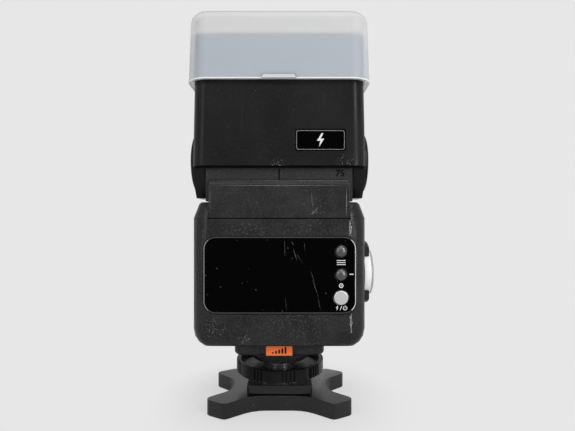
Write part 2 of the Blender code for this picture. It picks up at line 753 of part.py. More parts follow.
def build_port_cover():
    """Hinged flap over the charging socket."""
    outline = rectangle(FLAP_LENGTH / 2, FLAP_HEIGHT / 2, 0.6, (PORT_Y, PORT_Z))
    flap = prism("port_cover", outline, -BODY_HALF_WIDTH, -BODY_HALF_WIDTH + 0.7, "X", "rubber")
    pivot("port_axis", (-BODY_HALF_WIDTH, PORT_Y + FLAP_LENGTH / 2, PORT_Z), flap)


def block_outline(inner):
    """The hinge block's side view, drawn in for its hollow."""
    low = BODY_HIGH + GAP + inner
    rear = BLOCK_REAR - inner
    front = BLOCK_FRONT - inner
    radius = BLOCK_RADIUS - inner
    lean = math.degrees(math.acos(rear / radius))
    centre = (AXIS_Y, AXIS_Z)
    outline = [(-rear, low)] + arc(centre, radius, 180 + lean, 90 + inner * 6, 14)
    return outline + arc(centre, front, 90 + inner * 6, 0, 7) + [(front, low)]


def build_neck():
    """Cover plate and the two halves of the hinge block."""
    rear = -BODY_HALF_DEPTH + 0.2
    front = -BLOCK_REAR - GAP
    low = BODY_SHOULDER + 0.1
    chamfer = [(rear + 1.5, NECK_HIGH), (rear, NECK_HIGH - 2.2)]
    profile = [(rear, low), (front, low), (front, NECK_HIGH), *chamfer]
    prism("neck_cover", profile, -NECK_HALF_WIDTH, NECK_HALF_WIDTH, "X", "grey_plastic")
    centre = (AXIS_Y, AXIS_Z)
    for side, name in ((-1, "left"), (1, "right")):
        limits = sorted((side * 0.2, side * BLOCK_HALF_WIDTH))
        block = prism(f"hinge_block_{name}", block_outline(0.0), *limits, "X", "grey_plastic")
        limits = sorted((side * -1, side * (BLOCK_HALF_WIDTH - BLOCK_WALL)))
        cut(block, prism(f"block_hollow_{name}", block_outline(BLOCK_WALL), *limits, "X"))
        limits = sorted((side * (BLOCK_HALF_WIDTH - 14.4), side * (BLOCK_HALF_WIDTH - 1.0)))
        join(block, cylinder(f"axle_boss_{name}", AXLE_RADIUS + 2.5, *limits, "X", centre, sides=24))
        limits = sorted((side * (BLOCK_HALF_WIDTH - 17), side * (BLOCK_HALF_WIDTH + CUT)))
        cut(block, cylinder(f"axle_bore_{name}", AXLE_RADIUS + GAP, *limits, "X", centre))


def head_section(z, offset=0.0, edge=HEAD_EDGE):
    """The head's plan outline at a height, moved out by an offset."""
    draw = HEAD_DRAFT * (z - HEAD_LOW) / (HEAD_HIGH - HEAD_LOW) - offset
    radius = max(edge + offset, 0.8)
    return rectangle(BODY_HALF_WIDTH - draw, HEAD_HALF_DEPTH - draw, radius, (0, HEAD_MIDDLE))


def build_head_shells():
    """Rear and front halves of the head with the hinge space cut out of them."""
    low = HEAD_LOW - 5
    high = HEAD_HIGH + 5
    hollow = loft("head_hollow", [(low, head_section(low, -WALL)), (high, head_section(high, -WALL))])
    half = BLOCK_HALF_WIDTH + 0.8
    swing = cylinder("head_swing", BLOCK_RADIUS + GAP, -half, half, "X", (AXIS_Y, AXIS_Z), sides=48)
    gate = box("head_gate", (-half, half), (2, HEAD_FRONT + 10), (low, AXIS_Z + 13.5))
    outline = rectangle(BADGE_HALF_WIDTH + GAP, BADGE_HALF_HEIGHT + GAP, 0.8, BADGE_AT)
    badge = prism("badge_recess", outline, HEAD_REAR - CUT, HEAD_REAR + 0.85, "Y")
    wide = 2 * BODY_HALF_WIDTH
    rear_half = box("head_rear_half", (-wide, wide), (-wide, HEAD_MIDDLE - GAP / 2), (low, high))
    front_half = box("head_front_half", (-wide, wide), (HEAD_MIDDLE + GAP / 2, wide), (low, high))
    skin = [(z, head_section(z)) for z in (HEAD_LOW, HEAD_HIGH)]
    cut(keep(loft("head_rear_shell", skin, "black_plastic"), rear_half), hollow, swing, badge)
    cut(keep(loft("head_front_shell", skin, "black_plastic"), front_half), hollow, gate)
    return [bpy.data.objects["head_rear_shell"], bpy.data.objects["head_front_shell"]]


def build_hinge():
    """Arms inside the head's sides with ears that hang below it, their axles and round covers outside."""
    made = []
    centre = (AXIS_Y, AXIS_Z)
    inner = BLOCK_HALF_WIDTH + 0.5
    outer = BODY_HALF_WIDTH - WALL - 0.7
    ear_high = HEAD_LOW - GAP
    drop = math.degrees(math.asin((AXIS_Z - ear_high) / EAR_RADIUS))
    rear_drop = math.degrees(math.asin((AXIS_Z - ear_high) / EAR_REAR_RADIUS))
    flat = math.degrees(math.asin(EAR_RADIUS / EAR_REAR_RADIUS))
    moon = arc(centre, EAR_REAR_RADIUS, 180 + rear_drop, 180 + flat, 8)
    moon += arc(centre, EAR_RADIUS, 270, 360 - drop, 10)
    low = AXIS_Z - ARM_DROP
    top = AXIS_Z + ARM_RISE
    front = HEAD_FRONT - ARM_INSET
    upper = rounded([(ARM_REAR, low, 0), (front, low, 0), (front, top, 3), (ARM_REAR, top, 3)], 3)
    for side, name in ((-1, "left"), (1, "right")):
        limits = sorted((side * inner, side * outer))
        arm = prism(f"hinge_arm_{name}", upper, *limits, "X", "black_plastic")
        limits = sorted((side * inner, side * (BODY_HALF_WIDTH - 0.35)))
        ear = bevel(prism(f"hinge_ear_{name}", moon, *limits, "X"), 0.9, 2, 75)
        join(arm, ear)
        limits = sorted((side * (inner - CUT), side * (outer + 3 * CUT)))
        cut(arm, cylinder(f"arm_bore_{name}", AXLE_RADIUS + GAP, *limits, "X", centre))
        limits = sorted((side * (BLOCK_HALF_WIDTH - 13.4), side * (outer - 0.15)))
        axle = cylinder(f"tilt_axle_{name}", AXLE_RADIUS, *limits, "X", centre, "steel")
        r = CAP_DISC_RADIUS
        h = CAP_DISC_HEIGHT
        profile = [(0, h), (r - 1.3, h), (r - 0.4, h - 0.35), (r, h - 1.05), (r, 0), (0, 0)]
        origin = (side * (BODY_HALF_WIDTH + GAP), AXIS_Y, AXIS_Z)
        disc = lathe(f"hinge_cap_{name}", profile, origin, (side, 0, 0), "black_plastic", 40)
        made += [arm, axle, disc]
    return made


def build_flash_head():
    """Lens, its frame, reflector, flash tube with holders, trigger board and the bare name plate."""
    mid = (0, HEAD_MIDDLE)
    half_x = BODY_HALF_WIDTH - HEAD_DRAFT - WALL - 0.4
    half_y = HEAD_HALF_DEPTH - HEAD_DRAFT - WALL - 0.3
    outline = rectangle(BADGE_HALF_WIDTH, BADGE_HALF_HEIGHT, 0.6, BADGE_AT)
    plate = prism("name_plate", outline, HEAD_REAR + 0.22, HEAD_REAR + 0.57, "Y", "gloss_black")
    seat = LENS_HIGH - LENS_THICKNESS
    low = seat - 2.0
    high = LENS_HIGH + 0.7
    frame = prism("lens_bezel", rectangle(half_x, half_y, 3.2, mid), low, high, finish="black_plastic")
    cut(
        frame,
        prism("bezel_light", rectangle(half_x - 3.0, half_y - 3.0, 1.5, mid), low - CUT, high + CUT),
        prism("bezel_seat", rectangle(half_x - 1.3, half_y - 1.3, 2.2, mid), seat - GAP, high + CUT),
    )
    outline = rectangle(half_x - 1.6, half_y - 1.6, 1.9, mid)
    lens = prism("fresnel_lens", outline, seat, LENS_HIGH, finish="clear")
    top = low - GAP
    levels = (
        (TUBE_Z - 3.1, half_x - 5.8, half_y - 11.7),
        (TUBE_Z - 0.5, half_x - 3.6, half_y - 7.7),
        (top, half_x - 2.3, half_y - 1.7),
    )
    trough = loft("reflector", [(z, rectangle(x, y, 3.0, mid)) for z, x, y in levels], "silver")
    wall = REFLECTOR_WALL
    hollow = [(z + wall, rectangle(x - wall, y - wall, 2.3, mid)) for z, x, y in levels]
    at = (HEAD_MIDDLE, TUBE_Z)
    bore = TUBE_RADIUS + GAP
    cut(
        trough,
        loft("reflector_hollow", hollow),
        cylinder("tube_opening", bore, -2 * half_x, 2 * half_x, "X", at, sides=24),
    )
    tube = cylinder("flash_tube", TUBE_RADIUS, 1.1 - half_x, half_x - 1.1, "X", at, "clear", 20)
    made = [plate, frame, lens, trough, tube]
    for side, name in ((-1, "left"), (1, "right")):
        limits = sorted((side * (half_x - 2.2), side * (half_x + 0.3)))
        depth = (HEAD_MIDDLE - 4, HEAD_MIDDLE + 4)
        height = (TUBE_Z - HOLDER_DROP, TUBE_Z + 4)
        holder = box(f"tube_holder_{name}", limits, depth, height, "grey_plastic")
        limits = sorted((side * (half_x - 10), side * (half_x - 0.8)))
        cut(holder, cylinder(f"holder_bore_{name}", bore, *limits, "X", at, sides=24))
        made.append(holder)
    outline = rectangle(half_x + 0.3, half_y + 0.3, 4.0, mid)
    high = TRIGGER_LOW + TRIGGER_THICKNESS
    board = prism("trigger_board", outline, TRIGGER_LOW, high, finish="circuit_board")
    return made + [board]


def cap_skin(name, offset, top, edge, low, finish=None):
    """A round-topped skin that stands off the head's surface."""
    sections = [(low, head_section(low, offset + CAP_FLARE))]
    for degrees in (0, 30, 60, 90):
        a = math.radians(degrees)
        z = top - edge * (1 - math.sin(a))
        sections.append((z, head_section(z, offset - edge * (1 - math.cos(a)))))
    return loft(name, sections, finish)


def build_cap():
    """Frosted cap with a finger lip, open below."""
    cap = cap_skin("diffuser_cap", CAP_GAP + CAP_WALL, CAP_HIGH, CAP_EDGE, CAP_LOW, "frosted")
    rear = HEAD_REAR - CAP_GAP - CAP_WALL - CAP_FLARE + HEAD_DRAFT * 0.7
    limits = (-LIP_HALF_WIDTH, LIP_HALF_WIDTH)
    join(cap, box("cap_lip", limits, (rear - 0.7, rear + 0.6), (CAP_LOW, CAP_LOW + 1.5)))
    top = CAP_HIGH - CAP_WALL - 0.2
    cut(cap, cap_skin("cap_hollow", CAP_GAP, top, CAP_EDGE - CAP_WALL, CAP_LOW - CUT))
    pivot("cap_axis", (0, 0, CAP_LOW), cap)


shoe_floor = build_stand()
build_foot(shoe_floor)
build_lock()
build_module()
build_body_shells()
build_body_inside()
build_buttons()
build_dial()
build_port_cover()
build_neck()
head = build_head_shells() + build_hinge() + build_flash_head()
pivot("tilt_axis", (0, AXIS_Y, AXIS_Z), *head)
build_cap()
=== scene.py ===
"""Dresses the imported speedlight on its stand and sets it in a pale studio.

Sizes are in millimetres in the classes and become metres where a mesh is made. The frame is the
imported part's own: X to the dial side, minus Y towards the control panel, Z up.
"""

from __future__ import annotations

import json
import logging
import math
import random
from collections.abc import Callable
from dataclasses import dataclass, replace
from enum import Enum

import bmesh
import bpy
from mathutils import Matrix, Vector

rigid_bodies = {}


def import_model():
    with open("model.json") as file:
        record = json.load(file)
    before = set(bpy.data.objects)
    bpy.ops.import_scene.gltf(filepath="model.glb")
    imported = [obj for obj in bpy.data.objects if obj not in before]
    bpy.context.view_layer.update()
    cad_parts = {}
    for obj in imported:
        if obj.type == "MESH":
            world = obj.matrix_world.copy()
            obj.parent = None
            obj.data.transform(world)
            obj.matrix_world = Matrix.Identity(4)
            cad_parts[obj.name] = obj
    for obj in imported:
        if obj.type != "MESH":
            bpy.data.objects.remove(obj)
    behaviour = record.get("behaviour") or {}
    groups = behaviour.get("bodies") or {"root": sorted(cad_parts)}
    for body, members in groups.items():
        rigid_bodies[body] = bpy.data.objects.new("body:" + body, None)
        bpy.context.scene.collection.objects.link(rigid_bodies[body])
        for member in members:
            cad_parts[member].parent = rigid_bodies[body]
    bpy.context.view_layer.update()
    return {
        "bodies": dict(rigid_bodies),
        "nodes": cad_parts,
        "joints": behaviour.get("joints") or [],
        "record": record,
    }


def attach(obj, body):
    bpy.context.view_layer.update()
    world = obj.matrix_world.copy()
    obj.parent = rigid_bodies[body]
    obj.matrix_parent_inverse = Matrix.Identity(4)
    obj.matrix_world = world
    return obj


LOG = logging.getLogger("speedlight")
MM = 0.001
Point = tuple[float, float]
Outline = list[Point]
Stroke = tuple[Point, Point, float]  # both ends and the width
Sizes = tuple[float, ...]
Colour = tuple[float, float, float]
Tree = bpy.types.NodeTree
Node = bpy.types.Node
Socket = bpy.types.NodeSocket
Sockets = bpy.types.NodeOutputs
Recipe = Callable[[Tree, Sockets, Sockets], dict[str, Socket]]
Shape = bmesh.types.BMesh

# What all finishes share.
PLASTIC_IOR = 1.46
COAT_ROUGHNESS = 0.05
SMOOTHEST = 0.02
SCRATCH_STRETCH = 0.03
BARED: Colour = (0.4, 0.4, 0.41)

# Soft edges, in metres and radians.
WELD_DISTANCE = 0.000002
FLAT_ANGLE = math.radians(0.2)
EDGE_ANGLE = math.radians(42)
EDGE_SEGMENTS = 2
CREASE_ANGLE = math.radians(38)
FACE_WEIGHT = 90

# Print and trim, in millimetres.
PRINT_RISE = 0.02
PRINT_SINK = 0.05
TRIM_SINK = 0.1
CORNER_STEPS = 6
STROKE_STEPS = 14
DISC_STEPS = 12
SLIVER_WIDEST = (0.35, 0.6)
SPECK_LENGTHS = (0.1, 0.34)
SPECK_WIDTHS = (0.06, 0.17)
POLE_WELD = 0.0001


class Effect(Enum):
    """The shader groups that the finishes share."""

    GRAIN = "moulded_grain"
    SCRATCHES = "hairline_scratches"
    DUST = "dust_specks"
    BLOTCH = "handled_patches"
    RIDGES = "moulded_ridges"
    HEIGHT = "height_fade"
    SCUFF = "local_scuffs"


def add(tree: Tree, kind: str, inputs: dict[str | int, object], **settings: object) -> Node:
    """Adds a shader node.

    Args:
        tree: the tree it goes in.
        kind: Blender's name of the node, without its prefix.
        inputs: what each input gets, a socket to link or a plain value.
        settings: the node's own properties.

    Returns:
        The node.
    """
    node = tree.nodes.new(f"ShaderNode{kind}")
    for name, value in settings.items():
        setattr(node, name, value)
    for name, value in inputs.items():
        if isinstance(value, bpy.types.NodeSocket):
            tree.links.new(value, node.inputs[name])
        else:
            node.inputs[name].default_value = value
    return node


def fade(tree: Tree, value: Socket, low: Socket | float, high: Socket | float) -> Socket:
    """A smooth step of a value.

    Args:
        tree: the tree it goes in.
        value: what is stepped.
        low: where the result is 0.
        high: where the result is 1.

    Returns:
        The stepped value.
    """
    limits = {"Value": value, "From Min": low, "From Max": high}
    return add(tree, "MapRange", limits, interpolation_type="SMOOTHSTEP").outputs["Result"]


def noise(tree: Tree, at: Socket, scale: Socket | float, detail: float) -> Socket:
    """A noise value at a place.

    Args:
        tree: the tree it goes in.
        at: the coordinate.
        scale: cells per metre.
        detail: octaves.

    Returns:
        The noise.
    """
    values = {"Vector": at, "Scale": scale, "Detail": detail}
    return add(tree, "TexNoise", values).outputs["Fac"]


def product(tree: Tree, first: Socket, second: Socket) -> Socket:
    """Two masks multiplied, kept between 0 and 1.

    Args:
        tree: the tree it goes in.
        first: one mask.
        second: the other.

    Returns:
        Their product.
    """
    values = {0: first, 1: second}
    return add(tree, "Math", values, operation="MULTIPLY", use_clamp=True).outputs[0]


class EffectLibrary:
    """Builds each shared shader group once and places it in materials."""

    PLAIN_DETAIL = 1.0
    GRAIN_DETAIL = 2.0
    FLECK_LIMITS = (0.5, 0.72)
    LINE_LIMITS = (0.725, 0.77)
    BREAK_SCALE = 95.0
    BREAK_LIMITS = (0.5, 0.62)
    SPECK_LIMITS = (0.16, 0.06)
    CHOICE_SCALE = 230.0
    CHOICE_LIMITS = (0.56, 0.66)
    PATCH_DETAIL = 4.0
    PATCH_LIMITS = (0.32, 0.7)
    NEAR_LIMITS = (1.0, 0.25)
    CHIP_DETAIL = 3.0
    CHIP_LIMITS = (0.56, 0.66)

    def __init__(self) -> None:
        """Makes all groups."""
        scuff = {"Across": 0.5, "Up": 0.0, "Reach": 0.2, "Scale": 700.0}
        recipes = {
            Effect.GRAIN: (self._grain, {"Scale": 2600.0}),
            Effect.SCRATCHES: (self._scratches, {"Slant": 0.6, "Across": 900.0, "Along": 26.0}),
            Effect.DUST: (self._dust, {"Scale": 420.0}),
            Effect.BLOTCH: (self._blotch, {"Scale": 60.0}),
            Effect.RIDGES: (self._ridges, {"Scale": 900.0}),
            Effect.HEIGHT: (self._height, {"Low": 0.55, "High": 0.75}),
            Effect.SCUFF: (self._scuff, scuff),
        }
        self.groups = {effect: self._group(effect, *recipe) for effect, recipe in recipes.items()}

    @staticmethod
    def _group(effect: Effect, recipe: Recipe, inputs: dict[str, float]) -> Tree:
        """Makes one group.

        Args:
            effect: which group this is.
            recipe: adds the group's nodes and gives its results by name.
            inputs: the group's inputs and their defaults.

        Returns:
            The group.
        """
        group = bpy.data.node_groups.new(effect.value, "ShaderNodeTree")
        for name, value in inputs.items():
            socket = group.interface.new_socket(
                name, in_out="INPUT", socket_type="NodeSocketFloat"
            )
            socket.default_value = value
        start = group.nodes.new("NodeGroupInput")
        place = add(group, "TexCoord", {})
        results = recipe(group, start.outputs, place.outputs)
        for name in results:
            group.interface.new_socket(name, in_out="OUTPUT", socket_type="NodeSocketFloat")
        end = group.nodes.new("NodeGroupOutput")
        for name, socket in results.items():
            group.links.new(socket, end.inputs[name])
        return group

    def place(self, tree: Tree, effect: Effect, values: dict[str, float]) -> Sockets:
        """Puts a shared group in a material.

        Args:
            tree: the material's tree.
            effect: which group.
            values: its own input values.

        Returns:
            The group's results.
        """
        node = tree.nodes.new("ShaderNodeGroup")
        node.node_tree = self.groups[effect]
        for name, value in values.items():
            node.inputs[name].default_value = value
        return node.outputs

    def _grain(self, group: Tree, given: Sockets, place: Sockets) -> dict[str, Socket]:
        """Mould texture as a height, with its crests as flecks."""
        fine = noise(group, place["Object"], given["Scale"], self.GRAIN_DETAIL)
        return {"Height": fine, "Fleck": fade(group, fine, *self.FLECK_LIMITS)}

    def _scratches(self, group: Tree, given: Sockets, place: Sockets) -> dict[str, Socket]:
        """Thin broken lines that run along one slant of the X and Z plane.

        Args:
            group: the group's tree.
            given: the group's inputs.
            place: the surface coordinates.

        Returns:
            The lines' mask.
        """
        along = given["Along"]
        turn = add(group, "CombineXYZ", {"Y": given["Slant"]})
        stretch = add(group, "CombineXYZ", {"X": given["Across"], "Y": along, "Z": along})
        values = {
            "Vector": place["Object"], "Rotation": turn.outputs[0], "Scale": stretch.outputs[0],
        }
        at = add(group, "Mapping", values).outputs["Vector"]
        drawn = fade(group, noise(group, at, 1.0, self.PLAIN_DETAIL), *self.LINE_LIMITS)
        gaps = noise(group, place["Object"], self.BREAK_SCALE, self.PLAIN_DETAIL)
        return {"Mask": product(group, drawn, fade(group, gaps, *self.BREAK_LIMITS))}

    def _dust(self, group: Tree, given: Sockets, place: Sockets) -> dict[str, Socket]:
        """Scattered small specks.

        Args:
            group: the group's tree.
            given: the group's inputs.
            place: the surface coordinates.

        Returns:
            The specks' mask.
        """
        at = place["Object"]
        cells = add(group, "TexVoronoi", {"Vector": at, "Scale": given["Scale"]})
        dot = fade(group, cells.outputs["Distance"], *self.SPECK_LIMITS)
        choice = noise(group, at, self.CHOICE_SCALE, self.PLAIN_DETAIL)
        return {"Mask": product(group, dot, fade(group, choice, *self.CHOICE_LIMITS))}

    def _blotch(self, group: Tree, given: Sockets, place: Sockets) -> dict[str, Socket]:
        """Soft patches left by handling."""
        soft = noise(group, place["Object"], given["Scale"], self.PATCH_DETAIL)
        return {"Value": fade(group, soft, *self.PATCH_LIMITS)}

    def _ridges(self, group: Tree, given: Sockets, place: Sockets) -> dict[str, Socket]:
        """Straight ridges along X, as a lens or a board's copper has.

        Args:
            group: the group's tree.
            given: the group's inputs.
            place: the surface coordinates.

        Returns:
            The ridges' height.
        """
        values = {"Vector": place["Object"], "Scale": given["Scale"], "Distortion": 0.0}
        wave = add(group, "TexWave", values, wave_profile="SAW", bands_direction="Y")
        return {"Height": wave.outputs["Fac"]}

    def _height(self, group: Tree, given: Sockets, place: Sockets) -> dict[str, Socket]:
        """A soft step from the piece's foot to its top."""
        share = add(group, "SeparateXYZ", {0: place["Generated"]}).outputs["Z"]
        return {"Value": fade(group, share, given["Low"], given["High"])}

    def _scuff(self, group: Tree, given: Sockets, place: Sockets) -> dict[str, Socket]:
        """Chips round one place, given as shares of the piece's width and height.

        Args:
            group: the group's tree.
            given: the group's inputs.
            place: the surface coordinates.

        Returns:
            The chips' mask.
        """
        share = add(group, "SeparateXYZ", {0: place["Generated"]}).outputs
        middle = add(group, "CombineXYZ", {"X": given["Across"], "Z": given["Up"]}).outputs[0]
        spot = add(group, "CombineXYZ", {"X": share["X"], "Z": share["Z"]}).outputs[0]
        away = add(group, "VectorMath", {0: spot, 1: middle}, operation="DISTANCE")
        values = {0: away.outputs["Value"], 1: given["Reach"]}
        reached = add(group, "Math", values, operation="DIVIDE").outputs[0]
        near = fade(group, reached, *self.NEAR_LIMITS)
        chips = noise(group, place["Object"], given["Scale"], self.CHIP_DETAIL)
        return {"Mask": product(group, near, fade(group, chips, *self.CHIP_LIMITS))}


@dataclass(frozen=True)
class Scuff:
    """Where a piece is rubbed, as shares of its width and height, how far and how strongly."""

    across: float
    up: float
    reach: float
    amount: float
    scale: float = 1900.0


@dataclass(frozen=True)
class Finish:
    """One surface finish and how worn it is."""

    name: str
    colour: Colour
    roughness: float
    metallic: float = 0.0
    worn: Colour = (0.12, 0.12, 0.125)
    grain: float = 2600.0
    grain_depth: float = 0.00002
    fleck: float = 0.0
    scratches: float = 0.0
    slant: float = 0.6
    across: float = 900.0
    dust: float = 0.0
    patches: float = 0.12
    patch_scale: float = 60.0
    patch_tint: float = 0.05
    ridges: float = 0.0
    scuffs: tuple[Scuff, ...] = ()
    lower: Colour | None = None
    lower_limits: tuple[float, float] = (0.6, 0.72)
    upper: Colour | None = None
    upper_limits: tuple[float, float] = (0.88, 0.97)
    specular: float = 0.5
    coat: float = 0.0
    transmission: float = 0.0
    alpha: float = 1.0

    def material(self, effects: EffectLibrary) -> bpy.types.Material:
        """Builds the material.

        Args:
            effects: the shared groups.

        Returns:
            A node material of this finish.
        """
        made = bpy.data.materials.new(self.name)
        made.use_nodes = True
        tree = made.node_tree
        shader = tree.nodes["Principled BSDF"].inputs
        constants = {
            "Metallic": self.metallic,
            "Specular IOR Level": self.specular,
            "Coat Weight": self.coat,
            "Coat Roughness": COAT_ROUGHNESS,
            "Transmission Weight": self.transmission,
            "IOR": PLASTIC_IOR,
            "Alpha": self.alpha,
        }
        for name, value in constants.items():
            shader[name].default_value = value
        grain = effects.place(tree, Effect.GRAIN, {"Scale": self.grain})
        patch = effects.place(tree, Effect.BLOTCH, {"Scale": self.patch_scale})["Value"]
        smoothest = max(self.roughness - self.patches / 2, SMOOTHEST)
        rough = self._between(tree, patch, smoothest, self.patches)
        tree.links.new(rough, shader["Roughness"])
        tree.links.new(self._coloured(tree, effects, grain, patch), shader["Base Color"])
        height = grain["Height"]
        if self.ridges:
            height = effects.place(tree, Effect.RIDGES, {"Scale": self.ridges})["Height"]
        bump = add(tree, "Bump", {"Distance": self.grain_depth, "Height": height})
        tree.links.new(bump.outputs["Normal"], shader["Normal"])
        return made

    def _coloured(
        self, tree: Tree, effects: EffectLibrary, grain: Sockets, patch: Socket
    ) -> Socket:
        """The colour with its wear laid over it.

        Args:
            tree: the material's tree.
            effects: the shared groups.
            grain: the grain group's results.
            patch: the handled patches.

        Returns:
            The colour.
        """
        colour = self._tint(tree, None, patch, self.patch_tint)
        if self.fleck:
            colour = self._tint(tree, colour, grain["Fleck"], self.fleck)
        if self.scratches:
            along = self.across * SCRATCH_STRETCH
            values = {"Slant": self.slant, "Across": self.across, "Along": along}
            lines = effects.place(tree, Effect.SCRATCHES, values)
            colour = self._tint(tree, colour, lines["Mask"], self.scratches)
        if self.dust:
            dots = effects.place(tree, Effect.DUST, {})
            colour = self._tint(tree, colour, dots["Mask"], self.dust)
        for scuff in self.scuffs:
            values = {"Across": scuff.across, "Up": scuff.up}
            values |= {"Reach": scuff.reach, "Scale": scuff.scale}
            chips = effects.place(tree, Effect.SCUFF, values)
            colour = self._tint(tree, colour, chips["Mask"], scuff.amount, BARED)
        ends = ((self.lower, self.lower_limits[::-1]), (self.upper, self.upper_limits))
        for over, (start, full) in ends:
            if over:
                share = effects.place(tree, Effect.HEIGHT, {"Low": start, "High": full})
                colour = self._tint(tree, colour, share["Value"], 1.0, over)
        return colour

    @staticmethod
    def _between(tree: Tree, value: Socket, low: float, span: float) -> Socket:
        """Scales a mask into a range.

        Args:
            tree: the material's tree.
            value: the mask.
            low: the result at 0.
            span: how far the result rises.

        Returns:
            The scaled value.
        """
        values = {0: value, 1: span, 2: low}
        return add(tree, "Math", values, operation="MULTIPLY_ADD").outputs[0]

    def _tint(
        self,
        tree: Tree,
        under: Socket | None,
        mask: Socket,
        amount: float,
        over: Colour | None = None,
    ) -> Socket:
        """Lays another colour over what is there.

        Args:
            tree: the material's tree.
            under: the colour so far, or None for the plain one.
            mask: where the other colour shows.
            amount: how strongly.
            over: the other colour, or None for the worn one.

        Returns:
            The new colour.
        """
        colours = {
            "Factor": self._between(tree, mask, 0.0, amount),
            "A": (*self.colour, 1.0) if under is None else under,
            "B": (*(over or self.worn), 1.0),
        }
        return add(tree, "Mix", colours, data_type="RGBA").outputs["Result"]


def grey(level: float, blue: float = 0.0) -> Colour:
    """A grey.

    Args:
        level: how light it is.
        blue: how much more blue it has.

    Returns:
        The colour.
    """
    return (level, level, level + blue)


SATIN_BLACK = Finish(
    "satin_black_plastic", grey(0.0085, 0.0005), 0.32, worn=grey(0.055, 0.003), grain=1900.0,
    grain_depth=0.00006, fleck=0.45, scratches=0.5, slant=1.1, dust=0.6, patches=0.2,
    patch_scale=120.0, patch_tint=0.16, specular=0.22,
)
BODY_BLACK = replace(
    SATIN_BLACK,
    name="body_black_plastic",
    scuffs=(
        Scuff(0.32, 0.77, 0.15, 0.1),
        Scuff(0.7, 0.78, 0.2, 0.06),
        Scuff(0.13, 0.14, 0.09, 0.16),
        Scuff(0.31, 0.06, 0.05, 0.4, 1700.0),
        Scuff(0.6, 0.18, 0.3, 0.05),
    ),
)
HEAD_BLACK = Finish(
    "head_black_plastic", grey(0.004, 0.0004), 0.34, worn=grey(0.05, 0.003), fleck=0.16,
    scratches=0.15, slant=1.1, dust=0.5, patches=0.14, specular=0.16,
    scuffs=(Scuff(0.5, 0.0, 0.07, 0.4, 1700.0), Scuff(0.88, 0.03, 0.08, 0.35, 1700.0)),
)
NECK_BLACK = Finish(
    "neck_black_plastic", grey(0.005, 0.0005), 0.25, worn=grey(0.09, 0.002), grain=2000.0,
    grain_depth=0.00004, fleck=0.2, scratches=0.3, slant=1.45, dust=0.6, patch_scale=110.0,
    patch_tint=0.08, specular=0.34,
    scuffs=(Scuff(0.74, 0.35, 0.2, 0.1, 1700.0), Scuff(0.76, 0.14, 0.08, 0.35, 1300.0)),
)
DRUM_GREY = Finish(
    "drum_grey_plastic", grey(0.016, 0.001), 0.5, worn=grey(0.09, 0.002), fleck=0.3, dust=0.5,
    specular=0.24,
)
STAND_BLACK = Finish(
    "stand_black_plastic", grey(0.0032, 0.0002), 0.26, worn=grey(0.06, 0.002), grain=2000.0,
    fleck=0.1, scratches=0.3, dust=0.6, patches=0.14, specular=0.4,
)
RING_BLACK = Finish(
    "ring_black_plastic", grey(0.0032, 0.0002), 0.28, worn=grey(0.1), grain=2000.0, fleck=0.08,
    dust=0.4, specular=0.1,
)
PANEL_GLASS = Finish(
    "panel_gloss_black", grey(0.0007, 0.0001), 0.09, worn=(0.3, 0.31, 0.32), grain_depth=0.0,
    dust=0.16, patches=0.06, patch_tint=0.001, specular=0.018,
)
# Matt black for the painted shadow under the head's wall, and for the web that closes the drum's
# seam.
SHADOW_AND_SEAM_BLACK = Finish(
    "painted_shadow_and_seam_black", grey(0.0012), 0.8, worn=grey(0.01), fleck=0.3, specular=0.05,
)
RIM_GREY = Finish(
    "panel_rim", grey(0.012, 0.0005), 0.24, worn=grey(0.1), fleck=0.2, specular=0.6,
)
KEY_GREY = Finish(
    "key_smooth_grey", grey(0.008, 0.0005), 0.36, worn=grey(0.06), grain_depth=0.0, fleck=0.1,
    dust=0.2, patches=0.08, specular=1.0, coat=0.45,
)
SILVER = Finish(
    "satin_silver", grey(0.55, 0.01), 0.36, metallic=0.7, worn=grey(0.5), grain=1500.0,
    grain_depth=0.000012, fleck=0.2, patches=0.1,
)
DIAL_SILVER = Finish(
    "dial_pale_silver", grey(0.92), 0.55, worn=grey(0.78), grain=1500.0, grain_depth=0.00001,
    fleck=0.25, patches=0.1, specular=0.12,
)
DIAL_EDGE = Finish(
    "dial_edge_grey", grey(0.34, 0.005), 0.4, metallic=0.2, worn=grey(0.36, 0.005), grain=1500.0,
    grain_depth=0.00001, fleck=0.3, patches=0.1, specular=0.2,
)
STEEL = Finish(
    "plated_steel", grey(0.5, 0.01), 0.34, metallic=1.0, worn=(0.34, 0.33, 0.32), scratches=0.5,
)
BRASS = Finish(
    "gilt_contacts", (0.7, 0.5, 0.22), 0.32, metallic=1.0, worn=(0.5, 0.36, 0.18), patches=0.1,
)
ORANGE = Finish(
    "orange_label", (0.8, 0.165, 0.045), 0.46, worn=(0.6, 0.2, 0.09), fleck=0.2, dust=0.3,
    specular=0.3,
)
FROSTED = Finish(
    "frosted_cap", grey(0.79, 0.005), 0.42, worn=(0.9, 0.91, 0.93), grain=1800.0,
    grain_depth=0.00001, patches=0.08, specular=0.3, alpha=0.46,
    lower=(0.64, 0.69, 0.755), lower_limits=(0.59, 0.69), upper=grey(0.5, 0.005),
)
# A painted highlight: the pale band where the cap's lit bottom edge shows.
FROST_HIGHLIGHT = Finish(
    "frosted_edge_highlight", (0.88, 0.885, 0.89), 0.4, worn=(0.8, 0.81, 0.82), grain=1800.0,
    grain_depth=0.00001, fleck=0.2, specular=0.3,
)
FROST_LIP = Finish(
    "frosted_lip", (0.58, 0.6, 0.63), 0.45, worn=(0.64, 0.66, 0.69), fleck=0.3, specular=0.2,
)
# Painted shade: the dark line where the finger lip's top and flanks fall into shadow.
FROST_SHADE_LINE = Finish(
    "frosted_painted_shade", (0.2, 0.22, 0.26), 0.5, worn=(0.16, 0.18, 0.22), fleck=0.2,
)
